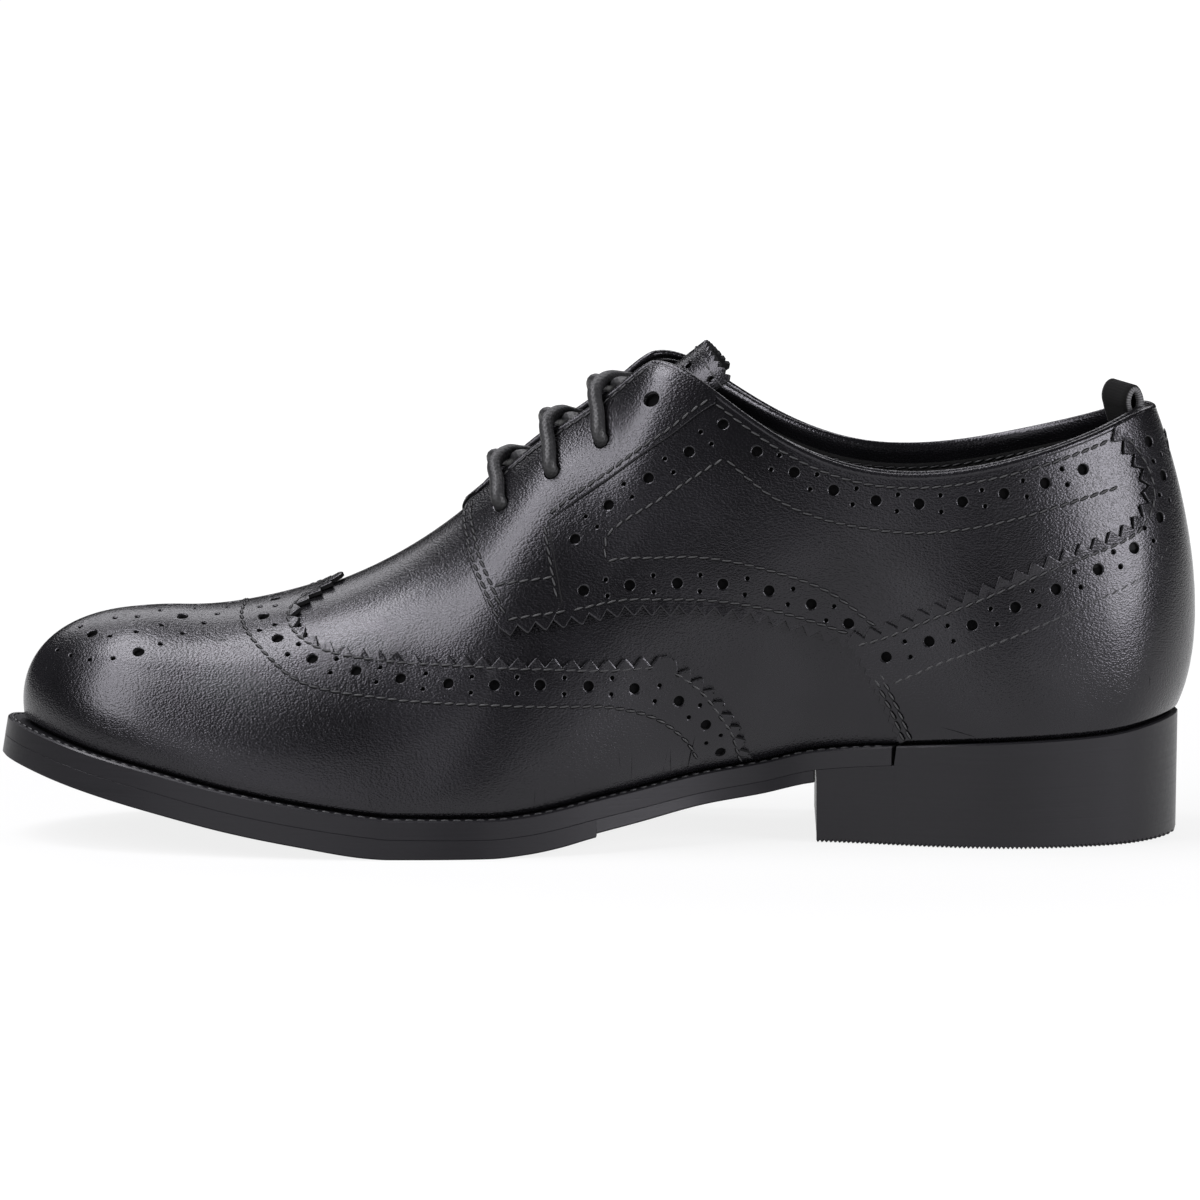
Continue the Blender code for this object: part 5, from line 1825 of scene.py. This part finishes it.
def build_welt_stitches(sizes, first):
    """Stitches on top of the welt from a medial row round the toe to its partner."""
    spacing, margin, ahead_by = 0.02, 1.0, 0.5
    rows = ring_rows(first, LOOP - first, spacing)
    width = edge_width(rows)[:, 0] * (1.0 - EDGE_SLANT) - WELT_STITCH_INSET
    plan = foot_line(rows) + width[:, None] * outward(rows)
    line = np.concatenate([plan, sole_top(plan[:, 0])[:, None]], axis=-1)
    lengths = np.concatenate([[0.0], np.cumsum(np.linalg.norm(np.diff(line, axis=0), axis=-1))])
    at = np.arange(margin, lengths[-1] - margin, sizes.welt_stitch)
    point, ahead = (
        np.stack([np.interp(place, lengths, column) for column in line.T], axis=-1)
        for place in (at, at + ahead_by)
    )
    along = ahead - point
    along /= np.linalg.norm(along, axis=-1, keepdims=True)
    across = np.cross((0.0, 0.0, 1.0), along)
    across /= np.linalg.norm(across, axis=-1, keepdims=True)
    frames = [(point, along, across, np.cross(along, across))]
    share, breadth, height = WELT_STITCH
    size = (sizes.welt_stitch * share, breadth, height)
    join_beads("welt_stitching", frames, size, finish("waxed_thread"))


def build_insole():
    """The sock on the insole."""
    row_step, toe_count = 0.1, 30
    inset, top = LINING_DEPTH + 2.0 * GAP, GAP + INSOLE_THICKNESS
    marks = (
        (-inset, sole_top, GAP),
        (-inset, sole_top, top - INSOLE_CHAMFER),
        (-inset - INSOLE_CHAMFER, sole_top, top),
    )
    rings = []
    for a in np.concatenate([ring_rows(0.0, TIP - 1.0, row_step), toe_rows(toe_count)]):
        medial, lateral = side_points(a, marks), side_points(-a, marks)
        rings.append(medial[:1] + lateral + medial[::-1])
    bm = capped(skin(np.array(rings)))
    piece = add_piece("insole_sock", bm, (finish("black_lining"),), ("insole",))
    piece.data.set_sharp_from_angle(angle=SOLE_CREASE)


# Stage

VIEW_TARGET = Vector((0.0, 0.0, 0.0507))
VIEW_DISTANCE = 5.0
VIEW_WIDTH = 0.26304
SENSOR = 36.0
LIGHT_TINT = (0.97, 0.96, 1.0)
AIR_STRENGTH = 0.02
FLOOR_CELLS, FLOOR_REACH = 8, 6.0
CLIP_END = 50.0

# Each lamp's place and size in metres, its power in watts and the way its longer side runs
Light = namedtuple("Light", "name place size power breadth")
LIGHTS = (
    Light("toe_softbox", (-0.785, -0.39, 0.89), (1.0, 0.48), 14.0, (0.8, 0.6, 0.0)),
    Light("top_softbox", (-0.445, 0.2, 1.25), (0.5, 0.48), 10.5, (0.8, 0.6, 0.0)),
    Light("heel_softbox", (0.86, -0.45, 0.36), (0.44, 0.42), 9.0, (0.46, 0.86, 0.0)),
    Light("back_card", (0.0, 1.25, 1.05), (1.7, 0.6), 9.5, (1.0, 0.0, 0.0)),
    Light("toe_card", (-0.2, -0.42, 0.13), (0.36, 0.26), 0.38, (1.0, 0.0, 0.0)),
    Light("waist_card", (0.29, -0.42, 0.085), (0.33, 0.17), 0.14, (1.0, 0.0, 0.0)),
)


def look_at(holder, place, target, breadth):
    """Turn a light or camera to a target, with its own breadth as near as can be to a level direction."""
    away = (place - target).normalized()
    across = (breadth - away * breadth.dot(away)).normalized()
    turned = Matrix((across, away.cross(across), away)).transposed().to_4x4()
    turned.translation = place
    holder.matrix_world = turned


def add_light(name, place, size, power, breadth):
    lamp = bpy.data.lights.new(name, "AREA")
    lamp.shape = "RECTANGLE"
    lamp.size, lamp.size_y = size
    lamp.energy = power
    lamp.color = LIGHT_TINT
    holder = bpy.data.objects.new(name, lamp)
    holder.visible_camera = False
    bpy.context.scene.collection.objects.link(holder)
    look_at(holder, Vector(place), VIEW_TARGET, Vector(breadth))


def build_stage():
    """Floor, lights, air and camera."""
    scene = bpy.context.scene
    bm = bmesh.new()
    bmesh.ops.create_grid(bm, x_segments=FLOOR_CELLS, y_segments=FLOOR_CELLS, size=FLOOR_REACH)
    mesh = bpy.data.meshes.new("studio_floor")
    bm.to_mesh(mesh)
    bm.free()
    mesh.materials.append(finish("floor_paper"))
    floor = bpy.data.objects.new("studio_floor", mesh)
    scene.collection.objects.link(floor)

    for light in LIGHTS:
        add_light(*light)

    world = bpy.data.worlds.new("studio_air")
    scene.world = world
    world.use_nodes = True
    air = world.node_tree.nodes["Background"].inputs
    air["Color"].default_value = (1.0, 1.0, 1.0, 1.0)
    air["Strength"].default_value = AIR_STRENGTH

    lens = bpy.data.cameras.new("studio_camera")
    lens.sensor_width = SENSOR
    lens.lens = SENSOR * VIEW_DISTANCE / VIEW_WIDTH
    lens.clip_end = CLIP_END
    camera = bpy.data.objects.new("studio_camera", lens)
    scene.collection.objects.link(camera)
    away = Vector((0.0, -math.cos(VIEW_ELEVATION), math.sin(VIEW_ELEVATION)))
    look_at(camera, VIEW_TARGET + VIEW_DISTANCE * away, VIEW_TARGET, Vector((1.0, 0.0, 0.0)))
    scene.camera = camera
    scene.view_settings.view_transform = "Standard"


def size(name, text, millimetres):
    """A length that a user may change, kept in metres."""
    return FloatProperty(
        name=name, description=text, default=millimetres * MM, min=0.01 * MM, precision=5, unit="LENGTH"
    )


def in_millimetres(group):
    return SimpleNamespace(**{name: getattr(group, name) / MM for name in group.__annotations__})


def colour(name, text, value):
    return FloatVectorProperty(
        name=name, description=text, default=value, size=3, min=0.0, max=1.0, subtype="COLOR"
    )


class BrogueSizes(bpy.types.PropertyGroup):
    large_hole: size("Large hole", "Diameter of the large perforations", 2.4)
    small_hole: size("Small hole", "Diameter of the small perforations", 1.0)
    pair_offset: size("Pair offset", "Distance of a small hole from the middle of its row", 1.8)
    eyelet: size("Eyelet", "Diameter of the lace holes", 3.6)
    tooth_curl: size("Tooth curl", "How far the tips of the pinked teeth stand up", 0.4)
    pink_pitch: size("Pinking pitch", "Width of a tooth on a pinked edge", 3.9)
    pink_depth: size("Pinking depth", "Depth of a tooth on a pinked edge", 2.1)
    front_pitch: size("Counter front pitch", "Width of a tooth on the counter's front edge", 2.4)
    front_depth: size("Counter front depth", "Depth of a tooth on the counter's front edge", 0.9)
    tongue_pitch: size("Tongue pitch", "Width of a tooth on the tongue's end", 2.0)
    tongue_depth: size("Tongue depth", "Depth of a tooth on the tongue's end", 0.8)
    tongue_band: size("Tongue band", "Distance of the tongue's stitching from its end", 2.4)
    cut_rim: size("Cut rim", "Width of the bevel round a cut edge", 0.25)
    cut_drop: size("Cut drop", "Depth of the bevel round a cut edge", 0.25)
    edge_roll: size("Edge roll", "Rise of the rolled collar edge", 0.9)
    collar_roll: size("Collar roll", "Thickness of the leather folded over the collar", 1.7)
    tuck_gap: size("Tuck gap", "Clearance of the upper's lower edge above the sole", 0.1)
    peak_rise: size("Peak rise", "Height of the wing's peak above the vamp's overlay", 0.2)
    facing_rise: size("Facing rise", "Height of the lace facing above the quarter", 0.55)
    counter_rise: size("Counter rise", "Height of the counter's edge above the quarter", 0.7)
    edge_to_stitch: size("Edge to stitch", "Distance of the wing's stitching from its edge", 2.5)
    quarter_to_stitch: size("Quarter to stitch", "Distance of the quarter's stitching from its edge", 1.5)
    counter_to_stitch: size("Counter to stitch", "Distance of the counter's stitching from its edge", 1.1)
    stitch_pitch: size("Stitch pitch", "Distance from stitch to stitch", 2.5)
    stitch_length: size("Stitch length", "Length of a stitch", 2.3)
    stitch_width: size("Stitch width", "Width of a stitch", 0.5)
    stitch_height: size("Stitch height", "Thickness of a stitch", 0.4)
    welt_stitch: size("Welt stitch", "Distance from stitch to stitch on the welt", 2.6)
    lace: size("Lace", "Diameter of the lace", 3.2)
    tape: size("Tape", "Breadth of the pull loop's tape", 13.5)


class BrogueColours(bpy.types.PropertyGroup):
    leather: colour("Leather", "Colour of the leather", (0.0036, 0.0035, 0.0041))
    raw_edge: colour("Raw edge", "Colour of cut and pinked edges", (0.008, 0.008, 0.0085))
    lining: colour("Lining", "Colour of the lining and sock", (0.012, 0.0118, 0.0118))
    rubber: colour("Rubber", "Colour of welt, sole and heel", (0.0065, 0.0063, 0.0073))
    thread: colour("Thread", "Colour of the stitching", (0.03, 0.03, 0.032))
    lace: colour("Lace", "Colour of the lace", (0.013, 0.013, 0.0142))
    tape_edge: colour("Tape edge", "Colour of the pull loop's bound edges", (0.2, 0.2, 0.205))
    floor: colour("Floor", "Colour of the floor", (0.1, 0.1, 0.1))


class BROGUE_OT_upper(bpy.types.Operator):
    """Build the lasted upper with its lining and rolled edge"""

    bl_idname = "brogue.upper"
    bl_label = "Upper"
    bl_options = {"REGISTER", "UNDO"}

    def execute(self, context):
        build_upper(in_millimetres(context.scene.brogue_sizes))
        return {"FINISHED"}


class BROGUE_OT_collar_roll(bpy.types.Operator):
    """Build the rolled edge of collar and throat"""

    bl_idname = "brogue.collar_roll"
    bl_label = "Collar roll"
    bl_options = {"REGISTER", "UNDO"}

    def execute(self, context):
        build_collar_roll(in_millimetres(context.scene.brogue_sizes))
        return {"FINISHED"}


class BROGUE_OT_wing_cap(bpy.types.Operator):
    """Build the perforated wing cap with its medallion"""

    bl_idname = "brogue.wing_cap"
    bl_label = "Wing cap"
    bl_options = {"REGISTER", "UNDO"}

    def execute(self, context):
        build_wing_cap(in_millimetres(context.scene.brogue_sizes))
        return {"FINISHED"}


class BROGUE_OT_quarters(bpy.types.Operator):
    """Build the two quarters and their perforations"""

    bl_idname = "brogue.quarters"
    bl_label = "Quarters"
    bl_options = {"REGISTER", "UNDO"}

    def execute(self, context):
        build_quarters(in_millimetres(context.scene.brogue_sizes))
        return {"FINISHED"}


class BROGUE_OT_facings(bpy.types.Operator):
    """Build the lace facings on the quarters"""

    bl_idname = "brogue.facings"
    bl_label = "Facings"
    bl_options = {"REGISTER", "UNDO"}

    def execute(self, context):
        build_facings(in_millimetres(context.scene.brogue_sizes))
        return {"FINISHED"}


class BROGUE_OT_counter(bpy.types.Operator):
    """Build the counter round the heel"""

    bl_idname = "brogue.counter"
    bl_label = "Counter"
    bl_options = {"REGISTER", "UNDO"}

    def execute(self, context):
        build_counter(in_millimetres(context.scene.brogue_sizes))
        return {"FINISHED"}


class BROGUE_OT_stitching(bpy.types.Operator):
    """Build the stitches on the leather"""

    bl_idname = "brogue.stitching"
    bl_label = "Stitching"
    bl_options = {"REGISTER", "UNDO"}

    def execute(self, context):
        build_stitching(in_millimetres(context.scene.brogue_sizes))
        return {"FINISHED"}


class BROGUE_OT_tongue(bpy.types.Operator):
    """Build the tongue with its pinked end"""

    bl_idname = "brogue.tongue"
    bl_label = "Tongue"
    bl_options = {"REGISTER", "UNDO"}

    def execute(self, context):
        build_tongue(in_millimetres(context.scene.brogue_sizes))
        return {"FINISHED"}


class BROGUE_OT_laces(bpy.types.Operator):
    """Build the crossed laces through the eyelets"""

    bl_idname = "brogue.laces"
    bl_label = "Laces"
    bl_options = {"REGISTER", "UNDO"}

    def execute(self, context):
        build_laces(in_millimetres(context.scene.brogue_sizes))
        return {"FINISHED"}


class BROGUE_OT_pull_loop(bpy.types.Operator):
    """Build the tape loop at the back of the collar"""

    bl_idname = "brogue.pull_loop"
    bl_label = "Pull loop"
    bl_options = {"REGISTER", "UNDO"}

    def execute(self, context):
        build_pull_loop(in_millimetres(context.scene.brogue_sizes))
        return {"FINISHED"}


class BROGUE_OT_sole(bpy.types.Operator):
    """Build outsole, heel and stitched welt"""

    bl_idname = "brogue.sole"
    bl_label = "Sole"
    bl_options = {"REGISTER", "UNDO"}

    def execute(self, context):
        build_sole(in_millimetres(context.scene.brogue_sizes))
        return {"FINISHED"}


class BROGUE_OT_insole(bpy.types.Operator):
    """Build the sock on the insole"""

    bl_idname = "brogue.insole"
    bl_label = "Insole"
    bl_options = {"REGISTER", "UNDO"}

    def execute(self, context):
        build_insole()
        return {"FINISHED"}


class BROGUE_OT_stage(bpy.types.Operator):
    """Build the floor, lights and camera"""

    bl_idname = "brogue.stage"
    bl_label = "Stage"
    bl_options = {"REGISTER", "UNDO"}

    def execute(self, context):
        build_stage()
        return {"FINISHED"}


PIECES = (
    BROGUE_OT_upper,
    BROGUE_OT_collar_roll,
    BROGUE_OT_wing_cap,
    BROGUE_OT_quarters,
    BROGUE_OT_facings,
    BROGUE_OT_counter,
    BROGUE_OT_stitching,
    BROGUE_OT_tongue,
    BROGUE_OT_laces,
    BROGUE_OT_pull_loop,
    BROGUE_OT_sole,
    BROGUE_OT_insole,
    BROGUE_OT_stage,
)


class BROGUE_PT_pieces(bpy.types.Panel):
    """Lists the pieces of the shoe with their sizes and colours"""

    bl_label = "Brogue"
    bl_idname = "BROGUE_PT_pieces"
    bl_space_type = "VIEW_3D"
    bl_region_type = "UI"
    bl_category = "Brogue"

    def draw(self, context):
        for group in (context.scene.brogue_sizes, context.scene.brogue_colours):
            column = self.layout.column()
            for name in group.__annotations__:
                column.prop(group, name)
        for piece in PIECES:
            self.layout.operator(piece.bl_idname)


CLASSES = (BrogueSizes, BrogueColours, *PIECES, BROGUE_PT_pieces)


def register():
    for item in CLASSES:
        bpy.utils.register_class(item)
    bpy.types.Scene.brogue_sizes = PointerProperty(type=BrogueSizes)
    bpy.types.Scene.brogue_colours = PointerProperty(type=BrogueColours)


def unregister():
    del bpy.types.Scene.brogue_colours
    del bpy.types.Scene.brogue_sizes
    for item in reversed(CLASSES):
        bpy.utils.unregister_class(item)


def main():
    register()
    for piece in PIECES:
        family, name = piece.bl_idname.split(".")
        getattr(getattr(bpy.ops, family), name)()


if __name__ == "__main__":
    main()
